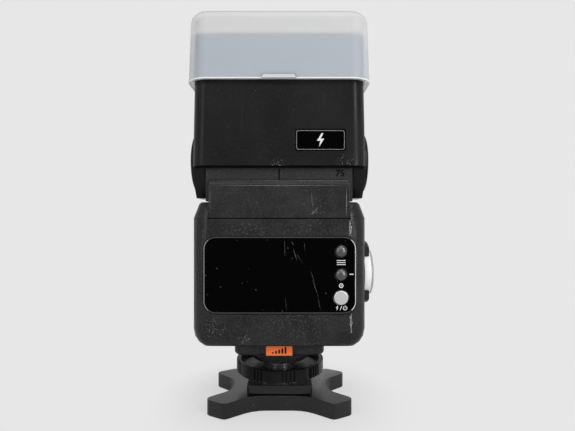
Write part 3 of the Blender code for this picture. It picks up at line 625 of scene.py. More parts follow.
# A painted highlight: the pale line along the panel rim's dial side.
HIGHLIGHT_PALE = Finish(
    "painted_highlight_pale", grey(0.56, 0.01), 0.4, worn=grey(0.7), fleck=0.4, grain=2200.0,
)
CLEAR = Finish(
    "clear_glass", (0.93, 0.95, 0.96), 0.08, worn=(0.9, 0.92, 0.93), grain_depth=0.0,
    transmission=0.95,
)
RIDGED = Finish(
    "ridged_lens", (0.93, 0.95, 0.96), 0.1, worn=(0.9, 0.92, 0.93), grain_depth=0.0004,
    ridges=180.0, transmission=0.9,
)
LAMP_RED = Finish(
    "lamp_dark_red", (0.09, 0.003, 0.005), 0.1, worn=(0.2, 0.02, 0.02), grain_depth=0.0,
    dust=0.4, coat=0.5,
)
BOARD = Finish(
    "board_green", (0.012, 0.11, 0.045), 0.4, worn=(0.03, 0.2, 0.09), grain_depth=0.00005,
    ridges=420.0, scratches=0.6, slant=0.0, across=1400.0,
)
WRAP = Finish(
    "battery_wrap", (0.02, 0.05, 0.17), 0.34, worn=(0.1, 0.14, 0.28), scratches=0.3,
)
RUBBER = Finish(
    "flap_rubber", grey(0.0055, 0.0003), 0.62, worn=grey(0.04), fleck=0.3, dust=0.8, specular=0.2,
)
SCRATCH_GREY = Finish(
    "scratch_grey", grey(0.03, 0.003), 0.5, worn=grey(0.2, 0.01), fleck=0.6, grain=3000.0,
)
# Painted glints: pale specks that stand in for the highlight on the body's rounded corner.
GLINT_GREY = Finish(
    "painted_glint_speckle", grey(0.5, 0.01), 0.4, worn=grey(0.2), fleck=0.5, grain=3000.0,
)
# Pale grey for the neck cover's scratches, and for painted highlights along its top chamfer and
# side edges.
SCRATCH_AND_HIGHLIGHT_GREY = Finish(
    "scratches_and_edge_highlights", grey(0.09, 0.005), 0.4, worn=grey(0.3, 0.01), fleck=0.7, grain=2200.0,
)
PRINT_WHITE = Finish("print_white", grey(0.72), 0.5, worn=grey(0.4), fleck=0.5, patches=0.1)
# Mid grey for the name plate's printed line, and for the painted highlight along the panel rim's
# other side.
PRINT_AND_HIGHLIGHT_GREY = Finish("print_and_highlight_grey", grey(0.2, 0.005), 0.5, worn=grey(0.1), fleck=0.4)
PRINT_BLACK = Finish(
    "print_black", grey(0.004), 0.5, worn=(0.03, 0.02, 0.02), fleck=0.2, specular=0.06,
)


class Workshop:
    """Holds the frame, the materials and the common ways of making a piece."""

    def __init__(self, frame: dict) -> None:
        """Keeps the loaded frame.
        """
        self.frame = frame
        self.effects = EffectLibrary()
        self.materials: dict[str, bpy.types.Material] = {}

    def material(self, finish: Finish) -> bpy.types.Material:
        """The material of a finish, made at its first use.

        Args:
            finish: the finish.

        Returns:
            Its material.
        """
        if finish.name not in self.materials:
            self.materials[finish.name] = finish.material(self.effects)
        return self.materials[finish.name]

    def dress(
        self, finish: Finish, *names: str, edge: float = 0.0, domed: bool = False
    ) -> None:
        """Gives CAD nodes a finish and soft shading.

        Args:
            finish: the finish.
            names: the CAD nodes.
            edge: radius in millimetres of the small rounding on their edges, 0 for none.
            domed: whether the shading follows a dome, rather than keeping large faces flat.
        """
        for name in names:
            node = self.frame["nodes"][name]
            node.data.materials.clear()
            node.data.materials.append(self.material(finish))
            self.soften(node, edge, domed)
            LOG.info("dressed %s in %s", name, finish.name)

    @staticmethod
    def soften(obj: bpy.types.Object, edge: float, domed: bool) -> None:
        """Smooth shading, with a small rounding where edges are sharp.

        Args:
            obj: the object.
            edge: the rounding's radius in millimetres, 0 for none.
            domed: whether the shading follows a dome.
        """
        weld = obj.modifiers.new("weld", "WELD")
        weld.merge_threshold = WELD_DISTANCE
        flat = obj.modifiers.new("flat", "DECIMATE")
        flat.decimate_type = "DISSOLVE"
        flat.angle_limit = FLAT_ANGLE
        if edge:
            bevel = obj.modifiers.new("edge", "BEVEL")
            bevel.width = edge * MM
            bevel.segments = EDGE_SEGMENTS
            bevel.limit_method = "ANGLE"
            bevel.angle_limit = EDGE_ANGLE
            bevel.harden_normals = False
            bevel.use_clamp_overlap = True
        obj.data.polygons.foreach_set("use_smooth", [True] * len(obj.data.polygons))
        split = obj.modifiers.new("crease", "EDGE_SPLIT")
        split.split_angle = CREASE_ANGLE
        if not domed:
            even = obj.modifiers.new("even", "WEIGHTED_NORMAL")
            even.weight = FACE_WEIGHT

    def piece(
        self, name: str, shape: Shape, finish: Finish, body: str, slot: str
    ) -> bpy.types.Object:
        """Turns a bmesh in millimetres into a piece that rides on a body.

        Args:
            name: the piece's name.
            shape: its geometry.
            finish: its finish.
            body: the CAD body it moves with.
            slot: the record's material slot; not used.

        Returns:
            The piece.
        """
        bmesh.ops.recalc_face_normals(shape, faces=shape.faces)
        bmesh.ops.scale(shape, vec=(MM, MM, MM), verts=shape.verts)
        mesh = bpy.data.meshes.new(name)
        shape.to_mesh(mesh)
        shape.free()
        obj = bpy.data.objects.new(name, mesh)
        bpy.context.scene.collection.objects.link(obj)
        mesh.materials.append(self.material(finish))
        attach(obj, body)
        LOG.info("made %s", name)
        return obj


def arc(centre: Point, radius: float, start: float, end: float, steps: int) -> Outline:
    """Points on an arc.

    Args:
        centre: its centre.
        radius: its radius.
        start: first angle in degrees.
        end: last angle in degrees.
        steps: how many chords.

    Returns:
        The points in order.
    """
    angles = [math.radians(start + (end - start) * i / steps) for i in range(steps + 1)]
    x, y = centre
    return [(x + radius * math.cos(a), y + radius * math.sin(a)) for a in angles]


def band(centre: Point, inner: float, outer: float, start: float, end: float) -> Outline:
    """An arc-shaped stroke.

    Args:
        centre: the arc's centre.
        inner: inside radius.
        outer: outside radius.
        start: first angle in degrees.
        end: last angle in degrees.

    Returns:
        The stroke's outline.
    """
    outside = arc(centre, outer, start, end, STROKE_STEPS)
    return outside + arc(centre, inner, end, start, STROKE_STEPS)


def disc(centre: Point, radius: float) -> Outline:
    """A small round stroke.

    Args:
        centre: its centre.
        radius: its radius.

    Returns:
        Its outline.
    """
    return arc(centre, radius, 0, 360, DISC_STEPS)[:-1]


def bar(x: float, y: float, width: float, height: float) -> Outline:
    """A level stroke.

    Args:
        x: its middle across.
        y: its middle up.
        width: its width.
        height: its height.

    Returns:
        Its outline.
    """
    left, right, low, high = x - width / 2, x + width / 2, y - height / 2, y + height / 2
    return [(left, low), (right, low), (right, high), (left, high)]


def sliver(start: Point, end: Point, width: float) -> Outline:
    """A thin scratch, widest in its middle and pointed at its ends.

    Args:
        start: one end.
        end: the other end.
        width: its greatest width.

    Returns:
        Its outline.
    """
    first, last = Vector(start), Vector(end)
    along = last - first
    side = Vector((-along.y, along.x)).normalized() * width / 2
    near, far = (first + along * share for share in SLIVER_WIDEST)
    return [tuple(p) for p in (first, near - side, far - side, last, far + side, near + side)]


def specks(start: Point, end: Point, width: float, count: int) -> list[Outline]:
    """Small flecks strewn along a line, closest together at its middle; they make the painted
    glints.

    Args:
        start: one end.
        end: the other end.
        width: how far they stray across.
        count: how many there are, which also seeds the draw.

    Returns:
        Their outlines.
    """
    along = Vector(end) - Vector(start)
    side = Vector((-along.y, along.x)).normalized()
    draw = random.Random(count)
    outlines: list[Outline] = []
    for _ in range(count):
        share = draw.triangular(0.0, 1.0, 0.5)
        x, y = Vector(start) + along * share + side * draw.triangular(-0.5, 0.5, 0.0) * width
        long, wide = draw.uniform(*SPECK_LENGTHS), draw.uniform(*SPECK_WIDTHS)
        outlines.append([(x - wide, y), (x, y - long), (x + wide, y), (x, y + long)])
    return outlines


def bolt(x: float, y: float, size: float) -> Outline:
    """A lightning sign.

    Args:
        x: its middle across.
        y: its middle up.
        size: its height.

    Returns:
        Its outline.
    """
    sign = (
        (0.08, 0.5), (-0.27, -0.06), (-0.02, -0.06), (-0.1, -0.5), (0.27, 0.1), (0.02, 0.1),
        (0.22, 0.5),
    )
    return [(x + i * size, y + j * size) for i, j in sign]


def rounded_frame(centre: Point, half: Point, radius: float) -> Outline:
    """A rectangle with round corners.

    Args:
        centre: its centre.
        half: half its width and height.
        radius: the corner radius.

    Returns:
        Its outline.
    """
    outline: Outline = []
    for i, (sx, sy) in enumerate(((1, 1), (-1, 1), (-1, -1), (1, -1))):
        corner = (centre[0] + sx * (half[0] - radius), centre[1] + sy * (half[1] - radius))
        outline += arc(corner, radius, i * 90, i * 90 + 90, CORNER_STEPS)
    return outline


def rounded_band(
    centre: Point, half: Point, radius: float, width: float
) -> tuple[Outline, Outline]:
    """The outside and inside of a rounded frame of even width.

    Args:
        centre: its centre.
        half: half its width and height.
        radius: the outside corner radius.
        width: how wide the band is.

    Returns:
        Both outlines.
    """
    within = (half[0] - width, half[1] - width)
    return rounded_frame(centre, half, radius), rounded_frame(centre, within, radius - width)


def marks(outlines: list[Outline], low: float, high: float) -> Shape:
    """Thin raised strokes on a face that looks towards minus Y.

    Args:
        outlines: strokes in X and Z.
        low: their outer Y.
        high: their inner Y.

    Returns:
        The geometry.
    """
    shape = bmesh.new()
    for outline in outlines:
        face = shape.faces.new([shape.verts.new((x, low, z)) for x, z in outline])
        grown = bmesh.ops.extrude_face_region(shape, geom=[face])
        moved = [v for v in grown["geom"] if isinstance(v, bmesh.types.BMVert)]
        bmesh.ops.translate(shape, vec=(0, high - low, 0), verts=moved)
    bmesh.ops.triangulate(shape, faces=[f for f in shape.faces if len(f.verts) > 4])
    return shape


def ring_strip(
    outer: Outline, inner: Outline, low: float, high: float, crest: float = 0.0
) -> Shape:
    """A thin closed frame between two outlines of equal count, facing minus Y.

    Args:
        outer: the outside outline.
        inner: the inside outline.
        low: the outer Y.
        high: the inner Y.
        crest: the share of the width by which each outer edge leans in, 0 for a flat face.

    Returns:
        The geometry.
    """
    shape = bmesh.new()
    rows = []
    for share, y in ((0.0, high), (crest, low), (1 - crest, low), (1.0, high)):
        pairs = zip(outer, inner)
        rows.append([
            shape.verts.new((a + (c - a) * share, y, b + (d - b) * share))
            for (a, b), (c, d) in pairs
        ])
    for first, second in zip(rows, rows[1:] + rows[:1]):
        for i in range(len(outer)):
            shape.faces.new((first[i - 1], first[i], second[i], second[i - 1]))
    return shape


def laid_level(shape: Shape) -> Shape:
    """Turns a shape drawn in X and Z into one drawn in X and Y, with its depth along Z.

    Args:
        shape: the geometry.

    Returns:
        The same geometry, turned.
    """
    swap = Matrix(((1, 0, 0, 0), (0, 0, 1, 0), (0, 1, 0, 0), (0, 0, 0, 1)))
    bmesh.ops.transform(shape, matrix=swap, verts=shape.verts)
    return shape


def turned(
    profile: Outline, origin: Vector, axis: Vector, segments: int, rib: float = 0.0
) -> Shape:
    """A closed turned shape.

    Args:
        profile: radius and place along the axis, from pole to pole or back to its first point.
        origin: a point on the axis.
        axis: the direction of the axis.
        segments: how many flats go round.
        rib: how far every other line on the widest part lies deeper.

    Returns:
        The geometry.
    """
    shape = bmesh.new()
    side = axis.orthogonal().normalized()
    other = axis.cross(side)
    widest = max(radius for radius, _ in profile)
    rows = []
    for i in range(segments):
        angle = 2 * math.pi * i / segments
        out = side * math.cos(angle) + other * math.sin(angle)
        depth = rib * (i % 2)
        points = [(r - depth if r == widest else r, along) for r, along in profile]
        rows.append([shape.verts.new(origin + axis * along + out * r) for r, along in points])
    for first, second in zip(rows, rows[1:] + rows[:1]):
        for j in range(len(profile) - 1):
            shape.faces.new((first[j], first[j + 1], second[j + 1], second[j]))
    bmesh.ops.remove_doubles(shape, verts=shape.verts, dist=POLE_WELD)
    return shape


@dataclass
class Assembly:
    """A group of pieces that are finished and built together."""

    shop: Workshop

    def dress(self) -> None:
        """Finishes the CAD nodes."""

    def build(self) -> None:
        """Makes the pieces that only the scene has, if there are any."""


@dataclass
class Stand(Assembly):
    """The four-legged stand with its accessory shoe."""

    base_edge: float = 0.6
    shoe_edge: float = 0.25

    def dress(self) -> None:
        """Finishes the stand's nodes."""
        self.shop.dress(STAND_BLACK, "stand_base", edge=self.base_edge)
        self.shop.dress(STAND_BLACK, "stand_shoe", edge=self.shoe_edge)


@dataclass
class RadioModule(Assembly):
    """The foot module with its lock ring and orange label."""

    label: Point = (0.0, 25.5)
    face: float = -17.55
    housing_edge: float = 0.25
    ring_edge: float = 0.15
    label_edge: float = 0.1
    bars: int = 5
    bar_pitch: float = 1.2
    bar_width: float = 0.7
    bar_step: float = 0.5
    bar_foot: float = 1.0

    def dress(self) -> None:
        """Finishes the module's nodes."""
        self.shop.dress(SATIN_BLACK, "module_housing", edge=self.housing_edge)
        self.shop.dress(RING_BLACK, "lock_ring", edge=self.ring_edge)
        self.shop.dress(STEEL, "shoe_foot", "clamp_washer")
        self.shop.dress(STEEL, "module_magnet_left", "module_magnet_right")
        self.shop.dress(BRASS, "foot_contacts", "contact_block")
        self.shop.dress(BOARD, "module_board")
        self.shop.dress(DRUM_GREY, "module_lid")
        self.shop.dress(ORANGE, "module_label", edge=self.label_edge)

    def build(self) -> None:
        """Signal bars printed on the label."""
        x, z = self.label
        first = x - self.bar_pitch * (self.bars - 1) / 2
        strokes = []
        for i in range(self.bars):
            tall = self.bar_step * (i + 1)
            at = z - self.bar_foot + tall / 2
            strokes.append(bar(first + self.bar_pitch * i, at, self.bar_width, tall))
        shape = marks(strokes, self.face - PRINT_RISE, self.face + PRINT_SINK)
        self.shop.piece("label_signal_bars", shape, PRINT_BLACK, "module", "black_plastic")


@dataclass
class FlashBody(Assembly):
    """The body's shells and what they hold."""

    shell_edge: float = 0.35
    lamp_edge: float = 0.2
    flap_edge: float = 0.15
    face: float = -23.0
    # Lines of painted glints on the rounded corner at the dial side, standing in for the lamps'
    # highlight.
    glint_lines: tuple[tuple[Point, Point, float, int], ...] = (  # both ends, width and count
        ((26.1, 75.6), (26.5, 68.6), 1.0, 46),
        ((26.4, 41.2), (26.6, 33.4), 1.0, 60),
    )

    def dress(self) -> None:
        """Finishes the body's nodes."""
        self.shop.dress(BODY_BLACK, "rear_shell", edge=self.shell_edge)
        self.shop.dress(SATIN_BLACK, "front_shell", edge=self.shell_edge)
        self.shop.dress(DRUM_GREY, "display_module", "af_lamp_module", "dial_encoder")
        self.shop.dress(BOARD, "control_board", "power_board")
        self.shop.dress(WRAP, "battery_pack")
        self.shop.dress(PANEL_GLASS, "main_capacitor")
        self.shop.dress(STEEL, "usb_socket", "contact_plate")
        self.shop.dress(STEEL, *[f"housing_screw_{i}" for i in range(1, 5)])
        self.shop.dress(LAMP_RED, "af_window", edge=self.lamp_edge)
        self.shop.dress(RUBBER, "port_cover", edge=self.flap_edge)

    def build(self) -> None:
        """Painted glints on the corner at the dial side: pale flecks that stand in for a
        highlight.
        """
        strokes = [fleck for line in self.glint_lines for fleck in specks(*line)]
        shape = marks(strokes, self.face - PRINT_RISE, self.face + TRIM_SINK)
        self.shop.piece("body_painted_glints", shape, GLINT_GREY, "flash_body", "black_plastic")


@dataclass
class ControlPanel(Assembly):
    """The glossy window with its keys and signs."""

    centre: Point = (0.3, 55.05)
    half: Point = (28.1, 14.15)
    radius: float = 4.5
    window_edge: float = 0.15
    power_edge: float = 0.1
    rim: float = 0.45
    rim_crest: float = 0.45
    rim_foot: float = -22.95
    rim_rise: float = 0.053
    # The painted highlights along the rim's sides: their width, their reach round the corners in
    # degrees and their chords.
    line: float = 0.26
    line_reach: float = 50.0
    line_steps: int = 8
    face: float = -22.9
    sign_rise: float = 0.03
    scratch_rise: float = 0.012
    scratches: tuple[Stroke, ...] = (
        ((11.6, 56.8), (13.4, 51.4), 0.13),
        ((12.2, 53.6), (14.6, 46.9), 0.16),
        ((14.2, 47.6), (15.4, 41.7), 0.11),
        ((2.1, 68.2), (2.2, 61.8), 0.14),
        ((2.3, 47.4), (2.9, 41.5), 0.09),
        ((5.2, 65.0), (6.7, 60.2), 0.2),
        ((4.6, 67.6), (5.4, 66.0), 0.24),
        ((6.2, 63.2), (8.9, 59.2), 0.09),
        ((9.2, 67.3), (9.6, 63.6), 0.08),
    )
    key_x: float = 22.9
    key_heights: tuple[tuple[str, float], ...] = (("menu_button", 63.8), ("set_button", 55.2))
    key_radius: float = 2.24
    key_crown: float = 1.35
    key_sink: float = 0.3
    key_segments: int = 40
    key_steps: int = 10
    sign_heights: Sizes = (59.7, 51.2, 42.95)
    menu_bar: Sizes = (3.2, 0.28, 0.75)  # width, height and pitch
    set_ring: Sizes = (0.55, 0.85, 0.25)  # inner, outer and disc radius
    power_bolt: Sizes = (-1.5, 1.7)  # place across and height
    power_slash: Sizes = (0.55, 0.25, 0.6, 0.8)  # offset, width, lean and half height
    power_ring: Sizes = (1.45, 0.55, 0.8)  # place across, inner and outer radius
    power_gap: float = 30.0  # half the opening in degrees
    power_bar: Sizes = (0.5, 0.25, 0.8)  # place up, width and height
    light_mark: Sizes = (26.75, 55.4, 1.5, 0.4)  # middle across and up, width and height

    def dress(self) -> None:
        """Finishes the window and the keys."""
        self.shop.dress(PANEL_GLASS, "display_window", edge=self.window_edge)
        self.shop.dress(KEY_GREY, "menu_button", "set_button", domed=True)
        self.shop.dress(SILVER, "power_button", edge=self.power_edge)

    def build(self) -> None:
        """The window's rim, the painted highlights along its sides, the signs, the scratches and
        the keys' domes.
        """
        outer, inner = rounded_band(self.centre, self.half, self.radius, self.rim)
        top = self.rim_foot - self.rim_rise
        rim = ring_strip(outer, inner, top, self.rim_foot, self.rim_crest)
        self.shop.piece("panel_rim", rim, RIM_GREY, "flash_body", "gloss_black")
        # Painted highlights: a pale line on the dial side and a grey one on the other stand in
        # for the lamps' glint on the rim.
        for side, name, finish in ((1, "right", HIGHLIGHT_PALE), (-1, "left", PRINT_AND_HIGHLIGHT_GREY)):
            shape = marks([self._side_line(side)], top - PRINT_RISE, self.rim_foot)
            self.shop.piece(f"panel_{name}_line", shape, finish, "flash_body", "gloss_black")
        shape = marks(self._signs(), self.face - self.sign_rise, self.face + TRIM_SINK)
        self.shop.piece("panel_signs", shape, PRINT_WHITE, "flash_body", "silver")
        lines = [sliver(*ends) for ends in self.scratches]
        shape = marks(lines, self.face - self.scratch_rise, self.face + PRINT_SINK)
        self.shop.piece("panel_scratches", shape, SCRATCH_GREY, "flash_body", "gloss_black")
        self._domes()

    def _side_line(self, side: int) -> Outline:
        """A painted highlight along the middle of the rim on one side of the window.

        Args:
            side: 1 for the dial side, -1 for the other.

        Returns:
            The line's outline.
        """
        x = self.half[0] - self.radius
        z = self.half[1] - self.radius
        middle = self.radius - self.rim / 2
        outline: Outline = []
        for width, order in ((self.line / 2, 1), (-self.line / 2, -1)):
            lower = arc((x, -z), middle + width, -self.line_reach, 0, self.line_steps)
            upper = arc((x, z), middle + width, 0, self.line_reach, self.line_steps)
            outline += (lower + upper)[::order]
        return [(self.centre[0] + side * i, self.centre[1] + j) for i, j in outline]

    def _signs(self) -> list[Outline]:
        """The signs below the keys and the light mark beside them.

        Returns:
            Their strokes: three bars, a ring with a dot, then a bolt, a slash and a power sign.
        """
        menu_z, set_z, power_z = self.sign_heights
        x = self.key_x
        wide, tall, pitch = self.menu_bar
        strokes = [bar(x, menu_z + step * pitch, wide, tall) for step in (-1, 0, 1)]
        inside, outside, core = self.set_ring
        strokes += [band((x, set_z), inside, outside, at, at + 180) for at in (0, 180)]
        strokes.append(disc((x, set_z), core))
        aside, size = self.power_bolt
        strokes.append(bolt(x + aside, power_z, size))
        aside, wide, lean, rise = self.power_slash
        foot, top = x - aside, x - aside + lean
        low, high = power_z - rise, power_z + rise
        strokes.append([(foot, low), (foot + wide, low), (top + wide, high), (top, high)])
        aside, inside, outside = self.power_ring
        up, wide, tall = self.power_bar
        start, end = 90 + self.power_gap, 450 - self.power_gap
        strokes.append(band((x + aside, power_z), inside, outside, start, end))
        strokes.append(bar(x + aside, power_z + up, wide, tall))
        strokes.append(bar(*self.light_mark))
        return strokes

    def _domes(self) -> None:
        """A smooth dome over each of the two dark keys."""
        squash = self.key_crown / self.key_radius
        crown = [(r, h * squash) for r, h in arc((0, 0), self.key_radius, 90, 0, self.key_steps)]
        foot = [(self.key_radius, -self.key_sink), (0.0, -self.key_sink)]
        profile = [(0.0, self.key_crown)] + crown[1:] + foot
        for name, height in self.key_heights:
            origin = Vector((self.key_x, self.face, height))
            shape = turned(profile, origin, Vector((0, -1, 0)), self.key_segments)
            dome = self.shop.piece(f"{name}_dome", shape, KEY_GREY, name, "grey_plastic")
            self.shop.soften(dome, 0.0, True)


@dataclass
class SideDial(Assembly):
    """The silver dial on the body's side."""

    centre: Point = (-8.0, 54.6)
    rim_profile: tuple[Point, ...] = (  # radius and place along X
        (8.95, 32.8), (8.95, 35.45), (8.7, 35.9), (8.2, 36.15), (7.1, 36.15), (7.0, 35.6),
        (7.0, 32.8), (8.95, 32.8),
    )
    edge_profile: tuple[Point, ...] = (  # radius and place along X
        (8.99, 35.3), (8.75, 35.95), (8.2, 36.2), (7.9, 36.2), (7.9, 36.0), (8.6, 35.3),
        (8.99, 35.3),
    )
    guard_edge: float = 0.2
    knob_edge: float = 0.12
    lines: int = 96
    rib: float = 0.04

    def dress(self) -> None:
        """Finishes the dial's nodes."""
        self.shop.dress(SATIN_BLACK, "dial_guard", edge=self.guard_edge)
        self.shop.dress(DIAL_SILVER, "dial_knob", edge=self.knob_edge)
        self.shop.dress(SATIN_BLACK, "dial_cap")
        self.shop.dress(STEEL, "dial_shaft")

    def build(self) -> None:
        """The finely lined rim that the thumb turns, and the darker edge round its face."""
        origin, axis = Vector((0.0, *self.centre)), Vector((1, 0, 0))
        rings = (
            ("dial_rim", self.rim_profile, self.rib, DIAL_SILVER),
            ("dial_edge", self.edge_profile, 0.0, DIAL_EDGE),
        )
        for name, profile, rib, finish in rings:
            shape = turned(list(profile), origin, axis, self.lines, rib)
            ring = self.shop.piece(name, shape, finish, "dial", "silver")
            self.shop.soften(ring, 0.0, True)


@dataclass
class Neck(Assembly):
    """The hinge block with its tilt scale and cover."""

    axis: Point = (0.0, 98.7)
    radius: float = 21.5
    rear: float = 20.6
    front: float = 12.0
    low: float = 82.3
    cover_edge: float = 0.45
    drum_edge: float = 0.3
    scale_x: float = 22.8
    first_angle: float = -16.2
    angle_step: float = 15.0
    size: float = 3.4
    bold: float = 0.07
    digit_rise: float = 0.06
    digit_half: float = 0.36  # share of the size
    digit_depth: float = 0.03
    digit_steps: int = 3
    numbers: tuple[str, ...] = ("75", "60", "45", "30", "15", "0")
    web_inset: float = 0.6
    web_half: float = 0.15
    web_steps: tuple[int, int] = (20, 10)
    face: float = -22.8
    # The first three strokes are scratches; the last three are painted highlights along the
    # cover's top chamfer and its two side edges.
    scratches: tuple[Stroke, ...] = (
        ((11.9, 85.8), (12.5, 79.5), 0.14),
        ((14.4, 80.2), (12.9, 77.7), 0.24),
        ((13.2, 79.2), (12.4, 77.0), 0.16),
        ((-25.3, 88.0), (25.4, 88.05), 0.2),
        ((24.9, 87.6), (24.85, 76.4), 0.3),
        ((-25.4, 87.5), (-25.35, 77.5), 0.14),
    )

    def dress(self) -> None:
        """Finishes the neck's nodes."""
        self.shop.dress(NECK_BLACK, "neck_cover", edge=self.cover_edge)
        self.shop.dress(DRUM_GREY, "hinge_block_left", "hinge_block_right", edge=self.drum_edge)

    def build(self) -> None:
        """The tilt angles round the drum, the cover's scratches and painted edge highlights, and
        the web in the seam.
        """
        for i, number in enumerate(self.numbers):
            shape = self._digits(number)
            place = self._place(self.first_angle + self.angle_step * i)
            bmesh.ops.transform(shape, matrix=place, verts=shape.verts)
            name = f"tilt_number_{number}"
            self.shop.piece(name, shape, PRINT_BLACK, "flash_body", "grey_plastic")
        lines = [sliver(*ends) for ends in self.scratches]
        shape = marks(lines, self.face - PRINT_RISE, self.face + PRINT_SINK)
        self.shop.piece("neck_scratches_and_highlights", shape, SCRATCH_AND_HIGHLIGHT_GREY, "flash_body", "grey_plastic")
        shape = marks([self._web()], -self.web_half, self.web_half)
        upright = Matrix.Rotation(math.radians(90), 4, "Z")
        bmesh.ops.transform(shape, matrix=upright, verts=shape.verts)
        self.shop.piece("drum_seam_web", shape, SHADOW_AND_SEAM_BLACK, "flash_body", "black_plastic")

    def _web(self) -> Outline:
        """The drum's section, a little smaller, which closes the seam between its halves.

        Returns:
            Its outline.
        """
        inset = self.web_inset
        low, rear, front = self.low + inset, self.rear - inset, self.front - inset
        radius = self.radius - inset
        lean = math.degrees(math.acos(rear / radius))
        rear_steps, front_steps = self.web_steps
        outline = [(-rear, low)] + arc(self.axis, radius, 180 + lean, 90, rear_steps)
        return outline + arc(self.axis, front, 90, 0, front_steps) + [(front, low)]

    def _place(self, angle: float) -> Matrix:
        """Where a number lies on the drum.

        Args:
            angle: degrees above the axis.

        Returns:
            The turn and shift from the XY plane to the drum.
        """
        reach = math.degrees(self.size * self.digit_half / self.radius)
        top, bottom = self._surface(angle + reach), self._surface(angle - reach)
        upward = (top - bottom).normalized()
        right = Vector((1, 0, 0))
        outward = right.cross(upward)
        proud = max((self._surface(angle) - top).dot(outward), 0.0) + self.digit_rise
        turn = Matrix((right, upward, outward)).transposed().to_4x4()
        return Matrix.Translation((top + bottom) / 2 + outward * proud) @ turn

    def _surface(self, angle: float) -> Vector:
        """A point on the block's rear, which is round above and upright below.

        Args:
            angle: degrees above the axis.

        Returns:
            The point in millimetres.
        """
        foot = -math.acos(self.rear / self.radius)
        kept = max(math.radians(angle), foot)
        below = (kept - math.radians(angle)) * self.radius
        y = self.axis[0] - self.radius * math.cos(kept)
        z = self.axis[1] + self.radius * math.sin(kept) - below
        return Vector((self.scale_x, y, z))

    def _digits(self, number: str) -> Shape:
        """A plain number as thin geometry in the XY plane.

        Args:
            number: the digits.

        Returns:
            The geometry in millimetres.
        """
        curve = bpy.data.curves.new("digits", "FONT")
        curve.body = number
        curve.size = self.size
        curve.align_x = "CENTER"
        curve.align_y = "CENTER"
        curve.extrude = self.digit_depth
        curve.offset = self.bold
        curve.resolution_u = self.digit_steps
        holder = bpy.data.objects.new("digits", curve)
        bpy.context.scene.collection.objects.link(holder)
        bpy.context.view_layer.update()
        seen = holder.evaluated_get(bpy.context.evaluated_depsgraph_get())
        mesh = bpy.data.meshes.new_from_object(seen)
        bpy.data.objects.remove(holder, do_unlink=True)
        shape = bmesh.new()
        shape.from_mesh(mesh)
        bpy.data.meshes.remove(mesh)
        return shape


@dataclass
class Head(Assembly):
    """The tilting head with its lamp and plate."""

    shell_edge: float = 0.35
    arm_edge: float = 0.3
    plate_edge: float = 0.08
    bezel_edge: float = 0.2
    plate: Point = (15.3, 104.8)
    plate_half: Point = (8.9, 3.55)
    plate_corner: float = 0.9
    plate_line: float = 0.2
    plate_rise: float = 0.04
    bolt_size: float = 5.0
    face: float = -22.78
    low: float = 95.4
    # A painted shadow below the head's wall: its corner centre, radii, reach round the corners,
    # chords, drop and how deep it sinks.
    gap_shadow_corner: Point = (27.35, -17.7)
    gap_shadow_radii: Sizes = (4.75, 4.2)  # outer and inner
    gap_shadow_reach: float = 65.0
    gap_shadow_steps: int = 8
    gap_shadow_drop: float = 0.85
    lip_sink: float = 0.2

    def dress(self) -> None:
        """Finishes the head's nodes."""
        self.shop.dress(HEAD_BLACK, "head_rear_shell", "head_front_shell", edge=self.shell_edge)
        self.shop.dress(HEAD_BLACK, "hinge_arm_left", "hinge_arm_right", edge=self.arm_edge)
        self.shop.dress(HEAD_BLACK, "hinge_cap_left", "hinge_cap_right")
        self.shop.dress(STEEL, "tilt_axle_left", "tilt_axle_right")
        self.shop.dress(PANEL_GLASS, "name_plate", edge=self.plate_edge)
        self.shop.dress(SATIN_BLACK, "lens_bezel", edge=self.bezel_edge)
        self.shop.dress(RIDGED, "fresnel_lens")
        self.shop.dress(SILVER, "reflector")
        self.shop.dress(CLEAR, "flash_tube")
        self.shop.dress(DRUM_GREY, "tube_holder_left", "tube_holder_right")
        self.shop.dress(BOARD, "trigger_board")

    def build(self) -> None:
        """A painted shadow, a dark strip below the head's wall where the gap to the drum lies in
        shade, and the plate's line and lightning sign.
        """
        gap_shadow = laid_level(marks([self._gap_shadow()], self.low - self.gap_shadow_drop, self.low + self.lip_sink))
        self.shop.piece("head_painted_gap_shadow", gap_shadow, SHADOW_AND_SEAM_BLACK, "head", "black_plastic")
        low, high = self.face - self.plate_rise, self.face + TRIM_SINK
        outlines = rounded_band(self.plate, self.plate_half, self.plate_corner, self.plate_line)
        line = ring_strip(*outlines, low, high)
        self.shop.piece("plate_line", line, PRINT_AND_HIGHLIGHT_GREY, "head", "silver")
        shape = marks([bolt(*self.plate, self.bolt_size)], low, high)
        self.shop.piece("plate_flash_sign", shape, PRINT_WHITE, "head", "silver")

    def _gap_shadow(self) -> Outline:
        """The painted shadow's outline, which follows the wall round both rear corners.

        Returns:
            The outline in X and Y.
        """
        (x, y), (outer, inner) = self.gap_shadow_corner, self.gap_shadow_radii
        start, back, end = 270 - self.gap_shadow_reach, 270, 270 + self.gap_shadow_reach
        steps = self.gap_shadow_steps
        outline = arc((-x, y), outer, start, back, steps) + arc((x, y), outer, back, end, steps)
        outline += arc((x, y), inner, end, back, steps) + arc((-x, y), inner, back, start, steps)
        return outline


